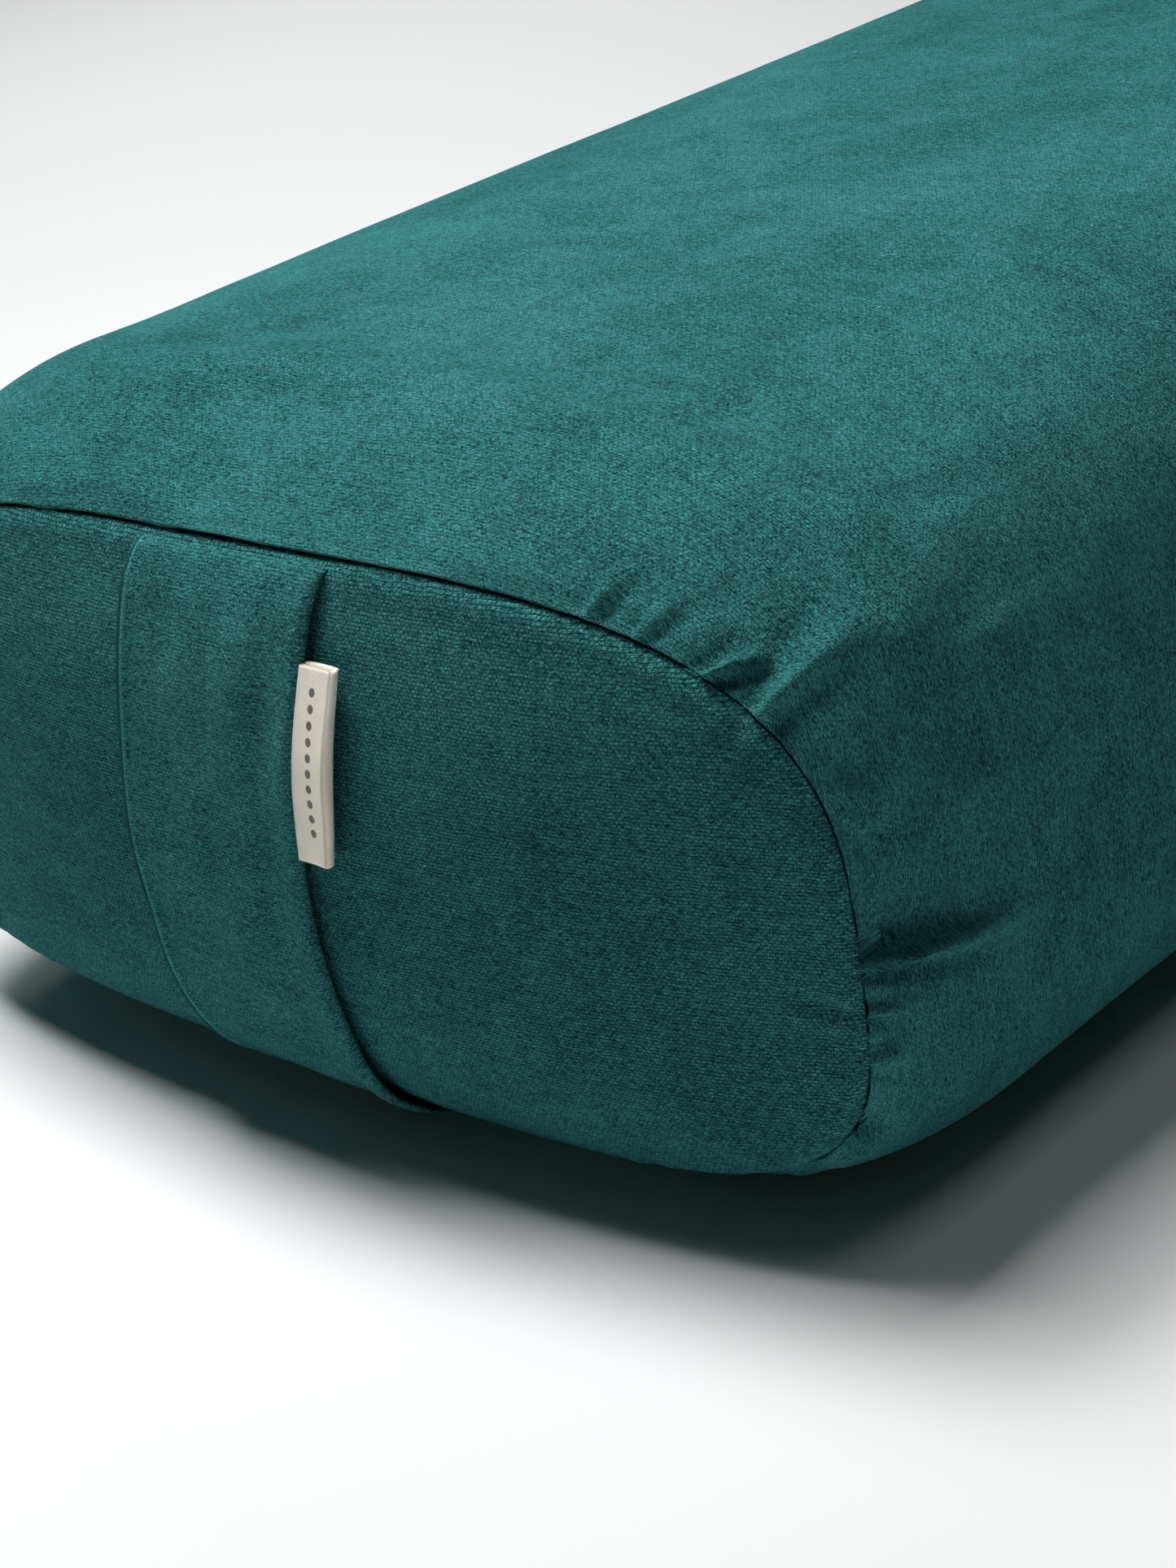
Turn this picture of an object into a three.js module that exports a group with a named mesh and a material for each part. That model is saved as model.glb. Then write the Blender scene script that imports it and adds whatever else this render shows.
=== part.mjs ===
// A rectangular yoga bolster: a zipped cloth cover with a strap handle across each end, and the
// calico-lined cotton pad that fills it.
// Units are millimetres. +Y runs along the length, +Z is up, and the origin is on the floor under
// the middle. The front end, whose handle carries the folded tag, faces -Y. The zip is on the -X side.
import * as THREE from "three";

// The cover's outer shape: a loaf-shaped tube whose ends roll over to a smaller seam outline.
const BODY_HALF_WIDTH = 150;
const BODY_HEIGHT = 160;
const MID_HEIGHT = 67.5; // where the wide top curve meets the tighter bottom curve
const FLAT_CUT = 2; // how far the bottom curve would dip under the floor before it is pressed flat
const TOP_POWER = 3.4; // superellipse powers: a higher one has a squarer corner
const BOTTOM_POWER = 3.8;
const SEAM_Y = 303; // from the middle to the plane of each end seam
const SEAM_HALF_WIDTH = 143.7;
const SEAM_TOP = 135;
const SEAM_BOTTOM = 11.9;
const SEAM_BOW = 5; // how far the seam's middle stands out past its corners
const ROLL_LENGTH = 52; // length over which the tube rolls over to the seam

// Cloth and filling, from the outside in. Depths are measured inwards from the outer shape.
const COVER_CLOTH = 1.2;
const PANEL_BULGE = 10.5;
const SEAM_GAP = 0.3;
const LINER_DEPTH = 7;
const LINER_CLOTH = 0.8;
const BATTING_DEPTH = 10;
const BATTING_THICKNESS = 18;
const CORE_DEPTH = 31;
const CORE_HALF_WIDTH = 112;
const CORE_HALF_LENGTH = 262;
const CORE_LEVELS = [33, 65, 98, 131]; // floors of the three layers, and the top of the last
const LAYER_GAP = 1.5;

// The handles: a flat cloth tube over a strip of interlining, caught in the end seam at both ends.
const STRAP_CENTRE_X = -3;
const STRAP_WIDTH = 57;
const STRAP_THICKNESS = 4;
const STRAP_CLOTH = 1;
const STRAP_LOW = 14;
const STRAP_HIGH = 133;
const STRAP_END_STAND = 8.2; // the back of the strap, out from the seam plane, at its sewn ends
const STRAP_MID_STAND = 23; // and in the middle, where fingers go behind it
const LINING_WIDTH = 48;
const LINING_THICKNESS = 1.2;

// The tag: one strip folded double, its two cut edges sewn under the front strap's +X edge.
const TAG_LOW = 75;
const TAG_HIGH = 117;
const TAG_WIDTH = 10;
const TAG_THICKNESS = 2;
const TAG_PLY = 0.7;
const TAG_GAP = 1.7; // from the strap's edge to the tag

// The zip, in a slot between the long edges of the wrap.
const ZIP_HEIGHT = 36;
const ZIP_HALF_LENGTH = 249;
const SLOT_HALF_WIDTH = 5.5;
const TAPE_WIDTH = 13;
const TAPE_THICKNESS = 0.8;
const TAPE_DEPTH = 3.6;
const CHAIN_WIDTH = 2.4;
const CHAIN_THICKNESS = 1.4;
const CHAIN_DEPTH = 1.9;
const CHAIN_GAP = 1.2; // between the two halves, where the slider's post runs
const STOP_LENGTH = 3;
const SLIDER_Y = 236; // the slider's place when the zip is closed
const SLIDER_LENGTH = 9;
const SLIDER_WIDTH = 8;
const SLIDER_PLATE = 0.8;
const SLIDER_TOP = -0.8; // heights over the outer shape
const SLIDER_BOTTOM = -5.6;
const SLIDER_POST = 0.5;
const CROWN_TOP = 1.7;
const CROWN_WIDTH = 1.2;
const CROWN_LENGTH = 4.4;
const CROWN_HOLE = 0.7;
const PIVOT_HEIGHT = 0.5;
const PULL_LENGTH = 21;
const PULL_WIDTH = 5;
const PULL_THICKNESS = 0.8;
const PULL_EYE_LENGTH = 4;
const PULL_EYE_WIDTH = 2.4;

const MATERIALS = {
  coverCloth: cloth(0x2c6263),
  strapCloth: cloth(0x275556),
  zipTape: cloth(0x1f4546),
  calico: cloth(0xe6dfcc),
  batting: cloth(0xf1efe8),
  interlining: cloth(0xdfddd6),
  careLabel: cloth(0xf5f4f0),
  tag: new THREE.MeshStandardMaterial({ color: 0xd8d2c1, roughness: 0.6, metalness: 0 }),
  coil: new THREE.MeshStandardMaterial({ color: 0x234a4b, roughness: 0.45, metalness: 0 }),
  metal: new THREE.MeshStandardMaterial({ color: 0x8d8f90, roughness: 0.35, metalness: 1 }),
};

function cloth(color) {
  return new THREE.MeshStandardMaterial({ color, roughness: 0.95, metalness: 0 });
}

const { lerp, clamp } = THREE.MathUtils;

// --- Closed sheets -------------------------------------------------------------------------------

// A closed solid from two facing grids. pointAt(u, v, side) gives the outer grid with side 0 and the
// inner one with side 1, for u and v from 0 to 1. The outer face looks along du x dv. A ring joins
// its last column to its first.
function sheet(pointAt, columns, rows, ring = false) {
  const across = ring ? columns : columns + 1;
  const positions = [];
  for (const side of [0, 1]) {
    for (let j = 0; j <= rows; j++) {
      for (let i = 0; i < across; i++) {
        positions.push(...pointAt(i / columns, j / rows, side));
      }
    }
  }
  const at = (i, j, side) => (side * (rows + 1) + j) * across + (i % across);
  const index = [];
  const quad = (a, b, c, d) => index.push(a, b, c, a, c, d);
  for (let j = 0; j < rows; j++) {
    for (let i = 0; i < columns; i++) {
      quad(at(i, j, 0), at(i + 1, j, 0), at(i + 1, j + 1, 0), at(i, j + 1, 0));
      quad(at(i, j, 1), at(i, j + 1, 1), at(i + 1, j + 1, 1), at(i + 1, j, 1));
    }
  }
  for (let i = 0; i < columns; i++) {
    quad(at(i + 1, 0, 0), at(i, 0, 0), at(i, 0, 1), at(i + 1, 0, 1));
    quad(at(i, rows, 0), at(i + 1, rows, 0), at(i + 1, rows, 1), at(i, rows, 1));
  }
  for (let j = 0; j < rows && !ring; j++) {
    quad(at(0, j, 0), at(0, j + 1, 0), at(0, j + 1, 1), at(0, j, 1));
    quad(at(columns, j + 1, 0), at(columns, j, 0), at(columns, j, 1), at(columns, j + 1, 1));
  }
  const geometry = new THREE.BufferGeometry();
  geometry.setAttribute("position", new THREE.Float32BufferAttribute(positions, 3));
  geometry.setIndex(index);
  geometry.computeVertexNormals();
  return geometry;
}

function mesh(name, geometry, material) {
  const made = new THREE.Mesh(geometry, material);
  made.name = name;
  return made;
}

// --- The outer shape -----------------------------------------------------------------------------

const signedPower = (value, power) => Math.sign(value) * Math.abs(value) ** power;

// How far the tube has rolled over towards the seam outline at y: 0 along the straight part, 1 at
// the seam, and a quarter circle between.
function rollAt(y) {
  const into = clamp(1 - (SEAM_Y - Math.abs(y)) / ROLL_LENGTH, 0, 1);
  return 1 - Math.sqrt(1 - into * into);
}

// The cross-section at y, so far inside the outer shape.
function outline(y, depth) {
  const roll = rollAt(y);
  return {
    halfWidth: lerp(BODY_HALF_WIDTH, SEAM_HALF_WIDTH, roll) - depth,
    up: lerp(BODY_HEIGHT, SEAM_TOP, roll) - depth - MID_HEIGHT,
    down: MID_HEIGHT - lerp(-FLAT_CUT, SEAM_BOTTOM, roll) - depth,
  };
}

const bowAt = (x) => SEAM_BOW * (1 - (x / SEAM_HALF_WIDTH) ** 2);

// A point of the tube: angle 0 is at +X, a quarter turn is the top, and the bottom is pressed flat.
function tubePoint(angle, y, depth) {
  const { halfWidth, up, down } = outline(y, depth);
  const sine = Math.sin(angle);
  const power = 2 / (sine < 0 ? BOTTOM_POWER : TOP_POWER);
  const x = halfWidth * signedPower(Math.cos(angle), power);
  const z = MID_HEIGHT + (sine < 0 ? down : up) * signedPower(sine, power);
  return [x, y * (1 + bowAt(x) / SEAM_Y), Math.max(z, depth)];
}

// Places along the length with even turning on the rolled ends, and one straight stretch between.
function tubeStations(halfLength, steps) {
  const half = [];
  for (let step = 0; step <= steps; step++) {
    const rolled = Math.sin((step / steps) * (Math.PI / 2));
    half.push(Math.min(halfLength, SEAM_Y - ROLL_LENGTH * (1 - rolled)));
  }
  return [...half.map((y) => -y).reverse(), ...half];
}

// Grid columns bunch towards the corners by themselves; the offset keeps one on each mid-side.
const ringAngle = (u) => (u - 0.25) * 2 * Math.PI;

function closedTube(halfLength, depth, thickness, columns, steps) {
  const stations = tubeStations(halfLength, steps);
  const rows = stations.length - 1;
  const pointAt = (u, v, side) =>
    tubePoint(ringAngle(1 - u), stations[Math.round(v * rows)], depth + side * thickness);
  return sheet(pointAt, columns, rows, true);
}

// The end of the stuffing: a dome over the seam outline. end is -1 for the front and 1 for the rear.
function endDome(end, inset, depth, bulge, thickness, divisions) {
  const ring = outline(SEAM_Y, inset);
  const pointAt = (u, v, side) => {
    const s = -end * (2 * u - 1);
    const t = 2 * v - 1;
    const radius = Math.max(Math.abs(s), Math.abs(t));
    const power = t < 0 ? BOTTOM_POWER : TOP_POWER;
    const toRing = radius === 0 ? 0 : (Math.abs(s) ** power + Math.abs(t) ** power) ** (-1 / power);
    const x = s * radius * toRing * ring.halfWidth;
    const z = MID_HEIGHT + t * radius * toRing * (t < 0 ? ring.down : ring.up);
    const out = SEAM_Y + bowAt(x) - depth + bulge * (1 - radius ** 2) ** 0.91;
    return [x, end * (out - side * thickness), z];
  };
  return sheet(pointAt, divisions, divisions);
}

// --- The cover -----------------------------------------------------------------------------------

const zipAngle =
  Math.PI + Math.asin(((MID_HEIGHT - ZIP_HEIGHT) / (MID_HEIGHT + FLAT_CUT)) ** (BOTTOM_POWER / 2));

// The angle round the tube at a distance up (or, if negative, down) the side from the zip.
function angleUpFromZip(distance) {
  const step = 1e-4 * -Math.sign(distance);
  let angle = zipAngle;
  let [x, , z] = tubePoint(angle, 0, 0);
  for (let walked = 0; walked < Math.abs(distance); ) {
    angle += step;
    const [nextX, , nextZ] = tubePoint(angle, 0, 0);
    walked += Math.hypot(nextX - x, nextZ - z);
    [x, z] = [nextX, nextZ];
  }
  return angle;
}

// One panel goes right round, and its two long edges meet at the zip. Past the zip's ends they are
// sewn together, so the slot closes there.
function coverWrap() {
  const columns = 40;
  const stations = tubeStations(SEAM_Y, 5);
  const rows = stations.length - 1;
  const lowerEdge = angleUpFromZip(-SLOT_HALF_WIDTH);
  const upperEdge = angleUpFromZip(SLOT_HALF_WIDTH);
  const sewnEdge = angleUpFromZip(SEAM_GAP / 2) - zipAngle;
  const pointAt = (u, v, side) => {
    const y = stations[Math.round(v * rows)];
    const open = Math.abs(y) > SEAM_Y - ROLL_LENGTH + 1 ? 0 : 1;
    const from = lerp(zipAngle - sewnEdge, lowerEdge, open) - 2 * Math.PI;
    const to = lerp(zipAngle + sewnEdge, upperEdge, open);
    return tubePoint(lerp(to, from, u), y, side * COVER_CLOTH);
  };
  return mesh("cover_wrap", sheet(pointAt, columns, rows), MATERIALS.coverCloth);
}

function coverEnd(name, end) {
  const depth = -SEAM_GAP - COVER_CLOTH;
  return mesh(name, endDome(end, 0, depth, PANEL_BULGE, COVER_CLOTH, 12), MATERIALS.coverCloth);
}

// --- The pad inside ------------------------------------------------------------------------------

function linerWrap() {
  const geometry = closedTube(SEAM_Y - LINER_DEPTH - 2, LINER_DEPTH, LINER_CLOTH, 28, 3);
  return mesh("liner_wrap", geometry, MATERIALS.calico);
}

function linerEnd(name, end) {
  const geometry = endDome(end, LINER_DEPTH, LINER_DEPTH, PANEL_BULGE, LINER_CLOTH, 8);
  return mesh(name, geometry, MATERIALS.calico);
}

function battingSleeve() {
  const halfLength = SEAM_Y - BATTING_DEPTH - BATTING_THICKNESS - 5;
  const geometry = closedTube(halfLength, BATTING_DEPTH, BATTING_THICKNESS, 24, 3);
  return mesh("batting_sleeve", geometry, MATERIALS.batting);
}

function battingEnd(name, end) {
  const geometry = endDome(end, BATTING_DEPTH + 2, BATTING_DEPTH, PANEL_BULGE, BATTING_THICKNESS, 8);
  return mesh(name, geometry, MATERIALS.batting);
}

// A layer of the core between two heights, its edges trimmed to the tube's own curve.
function coreLayer(name, floor, ceiling) {
  const { halfWidth, up, down } = outline(0, CORE_DEPTH);
  const rise = (x, power) => (1 - Math.abs(x / halfWidth) ** power) ** (1 / power);
  const pointAt = (u, v, side) => {
    const x = lerp(-CORE_HALF_WIDTH, CORE_HALF_WIDTH, u);
    const top = Math.min(ceiling, MID_HEIGHT + up * rise(x, TOP_POWER));
    const bottom = Math.max(floor, MID_HEIGHT - down * rise(x, BOTTOM_POWER));
    return [x, lerp(-CORE_HALF_LENGTH, CORE_HALF_LENGTH, v), side ? bottom : top];
  };
  return mesh(name, sheet(pointAt, 12, 1), MATERIALS.batting);
}

// --- The handles ---------------------------------------------------------------------------------

// The strap's back, out from the seam plane: along the panel at its ends and clear of it between.
function strapPath(share) {
  const place = 2 * share - 1;
  const z = lerp(STRAP_LOW, STRAP_HIGH, share);
  return [lerp(STRAP_MID_STAND, STRAP_END_STAND, place ** 4), z];
}

// A point of the strap's length, moved out from its back along its own normal.
function strapPoint(end, x, share, out) {
  const step = 1e-3;
  const [stand, z] = strapPath(share);
  const [standBefore, zBefore] = strapPath(share - step);
  const [standAfter, zAfter] = strapPath(share + step);
  const length = Math.hypot(standAfter - standBefore, zAfter - zBefore);
  const normalOut = (zAfter - zBefore) / length;
  const normalUp = -(standAfter - standBefore) / length;
  return [STRAP_CENTRE_X + x, end * (SEAM_Y + stand + out * normalOut), z + out * normalUp];
}

const STRAP_ROWS = 16;
const strapShare = (v) => 0.5 + 0.5 * Math.sin((v - 0.5) * Math.PI);

// The cloth is a flattened tube: straight across its face and back, and round at its two edges.
function strapCloth(name, end) {
  const roundSteps = 4;
  const columns = 2 * (roundSteps + 1);
  const pointAt = (u, v, side) => {
    const radius = STRAP_THICKNESS / 2 - side * STRAP_CLOTH;
    const column = Math.round(u * columns) % columns;
    const right = column <= roundSteps;
    const turn = ((column % (roundSteps + 1)) / roundSteps - 0.5) * Math.PI;
    const middle = STRAP_WIDTH / 2 - STRAP_THICKNESS / 2;
    const x = (right ? 1 : -1) * (middle + radius * Math.cos(turn));
    const out = STRAP_THICKNESS / 2 + (right ? 1 : -1) * radius * Math.sin(turn);
    return strapPoint(end, end * x, strapShare(v), out);
  };
  return mesh(name, sheet(pointAt, columns, STRAP_ROWS, true), MATERIALS.strapCloth);
}

function strapLining(name, end) {
  const pointAt = (u, v, side) => {
    const out = STRAP_THICKNESS / 2 + (0.5 - side) * LINING_THICKNESS;
    return strapPoint(end, -end * LINING_WIDTH * (u - 0.5), strapShare(v), out);
  };
  return mesh(name, sheet(pointAt, 1, STRAP_ROWS), MATERIALS.interlining);
}

// The tag stands along the straight line between its two ends on the curved strap. Its section is a
// hairpin with the fold away from the strap.
function tag() {
  const span = STRAP_HIGH - STRAP_LOW;
  const edge = STRAP_WIDTH / 2 + TAG_GAP;
  const ends = [TAG_LOW, TAG_HIGH].map((z) => (z - STRAP_LOW) / span);
  const [low, high] = ends.map((share) =>
    new THREE.Vector3(...strapPoint(-1, edge, share, STRAP_THICKNESS / 2)),
  );
  const radius = TAG_THICKNESS / 2;
  const fold = TAG_WIDTH - radius;
  const hairpin = new THREE.Shape();
  hairpin.moveTo(0, -radius);
  hairpin.lineTo(fold, -radius);
  hairpin.absarc(fold, 0, radius, -Math.PI / 2, Math.PI / 2, false);
  hairpin.lineTo(0, radius);
  hairpin.lineTo(0, radius - TAG_PLY);
  hairpin.lineTo(fold, radius - TAG_PLY);
  hairpin.absarc(fold, 0, radius - TAG_PLY, Math.PI / 2, -Math.PI / 2, true);
  hairpin.lineTo(0, TAG_PLY - radius);
  hairpin.closePath();
  const geometry = new THREE.ExtrudeGeometry(hairpin, {
    depth: high.distanceTo(low),
    bevelEnabled: false,
    curveSegments: 4,
  });
  const made = mesh("label_tag", geometry, MATERIALS.tag);
  const alongTag = high.clone().sub(low).normalize();
  const outwards = new THREE.Vector3(1, 0, 0);
  const inwards = alongTag.clone().cross(outwards);
  made.quaternion.setFromRotationMatrix(
    new THREE.Matrix4().makeBasis(outwards, inwards, alongTag),
  );
  made.position.copy(low);
  return made;
}

// --- The zip -------------------------------------------------------------------------------------

// The straight part's surface at a distance up from the zip, and the directions up and out there.
function skinFrame(distance) {
  const [x, , z] = tubePoint(angleUpFromZip(distance), 0, 0);
  const [aboveX, , aboveZ] = tubePoint(angleUpFromZip(distance + 0.5), 0, 0);
  const [belowX, , belowZ] = tubePoint(angleUpFromZip(distance - 0.5), 0, 0);
  const up = new THREE.Vector3(aboveX - belowX, 0, aboveZ - belowZ).normalize();
  const out = up.clone().cross(new THREE.Vector3(0, 1, 0));
  return { place: new THREE.Vector3(x, 0, z), up, out };
}

// Tape and care label lie against the cover's inside, so they follow the tube's curve.
function skinStrip(name, fromUp, toUp, fromY, toY, depth, thickness, material) {
  const columns = 3;
  const frames = [0, 1, 2, 3].map((i) => skinFrame(lerp(fromUp, toUp, i / columns)));
  const pointAt = (u, v, side) => {
    const { place, out } = frames[Math.round(u * columns)];
    const { x, z } = place.clone().addScaledVector(out, -depth - side * thickness);
    return [x, lerp(fromY, toY, v), z];
  };
  return mesh(name, sheet(pointAt, columns, 1), material);
}

// A group at the zip's middle: x runs up the side, y along the zip, and z out of the cover.
function zipGroup() {
  const { place, up, out } = skinFrame(0);
  const along = new THREE.Vector3(0, 1, 0);
  const group = new THREE.Group();
  group.quaternion.setFromRotationMatrix(new THREE.Matrix4().makeBasis(up, along, out));
  group.position.copy(place);
  return group;
}

// Half of the coil, as the plain strip that its loops fill. side is 1 for the upper half.
function zipChain(name, side) {
  const length = 2 * (ZIP_HALF_LENGTH - STOP_LENGTH - 1);
  const made = mesh(
    name,
    new THREE.BoxGeometry(CHAIN_WIDTH, length, CHAIN_THICKNESS),
    MATERIALS.coil,
  );
  made.position.x = side * (CHAIN_GAP / 2 + CHAIN_WIDTH / 2);
  made.position.z = -CHAIN_DEPTH - CHAIN_THICKNESS / 2;
  return made;
}

function zipStop(name, y, x, width) {
  const made = mesh(
    name,
    new THREE.BoxGeometry(width, STOP_LENGTH, CHAIN_THICKNESS),
    MATERIALS.metal,
  );
  made.position.set(x, y, -CHAIN_DEPTH - CHAIN_THICKNESS / 2);
  return made;
}

// The slider's body is an I-shaped section: a plate over and under the chain, and the post between.
function sliderBody() {
  const halfWidth = SLIDER_WIDTH / 2;
  const halfPost = SLIDER_POST / 2;
  const profile = new THREE.Shape();
  const right = [
    [halfWidth, SLIDER_BOTTOM],
    [halfWidth, SLIDER_BOTTOM + SLIDER_PLATE],
    [halfPost, SLIDER_BOTTOM + SLIDER_PLATE],
    [halfPost, SLIDER_TOP - SLIDER_PLATE],
    [halfWidth, SLIDER_TOP - SLIDER_PLATE],
    [halfWidth, SLIDER_TOP],
  ];
  const left = right.map(([x, z]) => [-x, z]).reverse();
  profile.setFromPoints([...right, ...left].map(([x, z]) => new THREE.Vector2(x, z)));
  const geometry = new THREE.ExtrudeGeometry(profile, { depth: SLIDER_LENGTH, bevelEnabled: false });
  geometry.rotateX(Math.PI / 2); // the section stands across the zip
  const made = mesh("zip_slider_body", geometry, MATERIALS.metal);
  made.position.y = SLIDER_Y + SLIDER_LENGTH / 2;
  return made;
}

// The crown is a small arch on the slider, with the hole that the pull hangs in.
function sliderCrown() {
  const halfLength = CROWN_LENGTH / 2;
  const base = SLIDER_TOP + SEAM_GAP;
  const shoulder = CROWN_TOP - 1.2;
  const arch = new THREE.Shape();
  arch.moveTo(-halfLength, base);
  arch.lineTo(halfLength, base);
  arch.quadraticCurveTo(halfLength, shoulder, 1, CROWN_TOP);
  arch.lineTo(-1, CROWN_TOP);
  arch.quadraticCurveTo(-halfLength, shoulder, -halfLength, base);
  const hole = new THREE.Path();
  hole.absarc(0, PIVOT_HEIGHT, CROWN_HOLE, 0, 2 * Math.PI, true);
  arch.holes.push(hole);
  const geometry = new THREE.ExtrudeGeometry(arch, {
    depth: CROWN_WIDTH,
    bevelEnabled: false,
    curveSegments: 6,
  });
  const made = mesh("zip_slider_crown", geometry, MATERIALS.metal);
  made.rotation.set(Math.PI / 2, Math.PI / 2, 0); // the arch stands along the zip
  made.position.set(-CROWN_WIDTH / 2, SLIDER_Y, 0);
  return made;
}

// The pull is a flat tab. The bar at the end of its eye runs through the crown's hole.
function zipPull() {
  const halfWidth = PULL_WIDTH / 2;
  const halfBar = PULL_THICKNESS / 2;
  const outline2d = new THREE.Shape();
  outline2d.moveTo(-halfWidth + 0.6, halfBar);
  outline2d.lineTo(halfWidth - 0.6, halfBar);
  outline2d.lineTo(halfWidth, halfBar - 0.6);
  outline2d.lineTo(halfWidth, halfWidth - PULL_LENGTH);
  outline2d.absarc(0, halfWidth - PULL_LENGTH, halfWidth, 0, -Math.PI, true);
  outline2d.lineTo(-halfWidth, halfBar - 0.6);
  outline2d.closePath();
  const eye = new THREE.Path();
  const halfEye = PULL_EYE_WIDTH / 2;
  eye.moveTo(-halfEye, -halfBar);
  eye.lineTo(-halfEye, -halfBar - PULL_EYE_LENGTH);
  eye.lineTo(halfEye, -halfBar - PULL_EYE_LENGTH);
  eye.lineTo(halfEye, -halfBar);
  eye.closePath();
  outline2d.holes.push(eye);
  const geometry = new THREE.ExtrudeGeometry(outline2d, {
    depth: PULL_THICKNESS,
    bevelEnabled: false,
    curveSegments: 6,
  });
  const made = mesh("zip_pull", geometry, MATERIALS.metal);
  made.position.set(0, SLIDER_Y, PIVOT_HEIGHT - PULL_THICKNESS / 2);
  return made;
}

function zip() {
  const group = new THREE.Group();
  const onCover = zipGroup();
  const inner = CHAIN_GAP / 2;
  for (const [word, side] of [["upper", 1], ["lower", -1]]) {
    const near = side > 0 ? inner : -inner - TAPE_WIDTH;
    const edges = [near, near + TAPE_WIDTH, -ZIP_HALF_LENGTH, ZIP_HALF_LENGTH];
    const tape = [...edges, TAPE_DEPTH, TAPE_THICKNESS, MATERIALS.zipTape];
    group.add(skinStrip(`zip_tape_${word}`, ...tape));
    const stopX = side * (inner + CHAIN_WIDTH / 2);
    const stopY = ZIP_HALF_LENGTH - STOP_LENGTH / 2;
    onCover.add(zipChain(`zip_chain_${word}`, side));
    onCover.add(zipStop(`zip_stop_top_${word}`, stopY, stopX, CHAIN_WIDTH));
  }
  const bothChains = CHAIN_GAP + 2 * CHAIN_WIDTH;
  onCover.add(zipStop("zip_stop_bottom", STOP_LENGTH / 2 - ZIP_HALF_LENGTH, 0, bothChains));
  onCover.add(sliderBody(), sliderCrown(), zipPull());
  group.add(onCover);
  return group;
}

function careLabel() {
  return skinStrip("care_label", 15, 47, 150, 176, 3, 0.4, MATERIALS.careLabel);
}

// --- The whole bolster ---------------------------------------------------------------------------

const bolster = new THREE.Group();
bolster.add(coverWrap(), linerWrap(), battingSleeve());
for (const [word, end] of [["front", -1], ["rear", 1]]) {
  bolster.add(coverEnd(`cover_end_${word}`, end));
  bolster.add(linerEnd(`liner_end_${word}`, end));
  bolster.add(battingEnd(`batting_end_${word}`, end));
  bolster.add(strapCloth(`handle_${word}_cloth`, end));
  bolster.add(strapLining(`handle_${word}_lining`, end));
}
["core_lower", "core_middle", "core_upper"].forEach((name, level) => {
  bolster.add(coreLayer(name, CORE_LEVELS[level], CORE_LEVELS[level + 1] - LAYER_GAP));
});
bolster.add(tag(), zip(), careLabel());

export default bolster;
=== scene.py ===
"""A rectangular yoga bolster in teal brushed cotton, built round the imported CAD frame.

Metres, in the row's own frame: +Y runs along the length, +Z is up, the tagged front end faces -Y
and the zip is on the -X side. The cover is settled by a short cloth simulation under the pressure
of its stuffing, and its seams, folds, handles, tag and zip are then built on that shape.
"""

import math

import bpy
import numpy as np
from mathutils import Matrix, Vector


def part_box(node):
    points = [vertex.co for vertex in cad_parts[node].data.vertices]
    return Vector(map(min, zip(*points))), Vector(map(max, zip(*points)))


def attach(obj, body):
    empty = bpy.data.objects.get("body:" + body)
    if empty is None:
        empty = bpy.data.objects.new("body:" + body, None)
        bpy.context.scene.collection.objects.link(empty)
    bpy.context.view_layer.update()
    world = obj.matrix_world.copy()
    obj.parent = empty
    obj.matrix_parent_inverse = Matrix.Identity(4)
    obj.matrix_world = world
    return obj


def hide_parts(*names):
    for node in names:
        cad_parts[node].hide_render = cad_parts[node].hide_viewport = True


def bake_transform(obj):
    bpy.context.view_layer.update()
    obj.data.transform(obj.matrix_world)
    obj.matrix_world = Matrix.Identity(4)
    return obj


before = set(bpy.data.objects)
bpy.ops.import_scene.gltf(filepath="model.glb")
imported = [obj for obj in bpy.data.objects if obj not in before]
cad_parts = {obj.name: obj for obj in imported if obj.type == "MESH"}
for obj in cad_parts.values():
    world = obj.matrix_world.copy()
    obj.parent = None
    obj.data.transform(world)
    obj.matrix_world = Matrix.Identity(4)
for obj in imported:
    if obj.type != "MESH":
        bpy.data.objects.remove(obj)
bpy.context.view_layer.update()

MM = 0.001

# --- Driving sizes, from the frame ----------------------------------------------------------------

WRAP_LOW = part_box("cover_wrap")[0]
END_LOW, END_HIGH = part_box("cover_end_front")
STRAP_LOW, STRAP_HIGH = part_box("handle_front_cloth")
TAG_LOW, TAG_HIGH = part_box("label_tag")
CHAIN_LOW, CHAIN_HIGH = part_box("zip_chain_upper")

HALF_WIDTH = -WRAP_LOW.x
HEIGHT = 0.160
MID_HEIGHT = 0.0675  # where the wide top curve meets the tighter bottom curve
FLAT_CUT = 0.002  # how far the bottom curve would dip under the floor before it is pressed flat
TOP_POWER = 3.4  # superellipse powers: a higher one has a squarer corner
BOTTOM_POWER = 3.8
SEAM_Y = 0.303
SEAM_HALF_WIDTH = END_HIGH.x
SEAM_TOP = END_HIGH.z
SEAM_BOTTOM = END_LOW.z
SEAM_BOW = 0.005  # how far the seam's middle stands out past its corners
ROLL_LENGTH = 0.052  # length over which the tube rolls over to the seam
ROLL_TURN = 0.955  # how near the roll gets to facing the end: 1 would be square on to it
BULGE = 0.0175  # how far the stuffing pushes the end panel out
FULLNESS = 0.91  # the power of the end panel's bulge: a lower one is fuller towards its edge
FULLNESS_DROP = 0.49  # how much lower that power is at the panel's bottom
TUCK_BACK = 0.012  # how far the middle of the seam's bottom run lies back under the panel
TUCK_DOWN = 0.0065
FRONT, REAR = -1, 1

# --- Arrays: curves, blends and repeatable noise --------------------------------------------------


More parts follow.
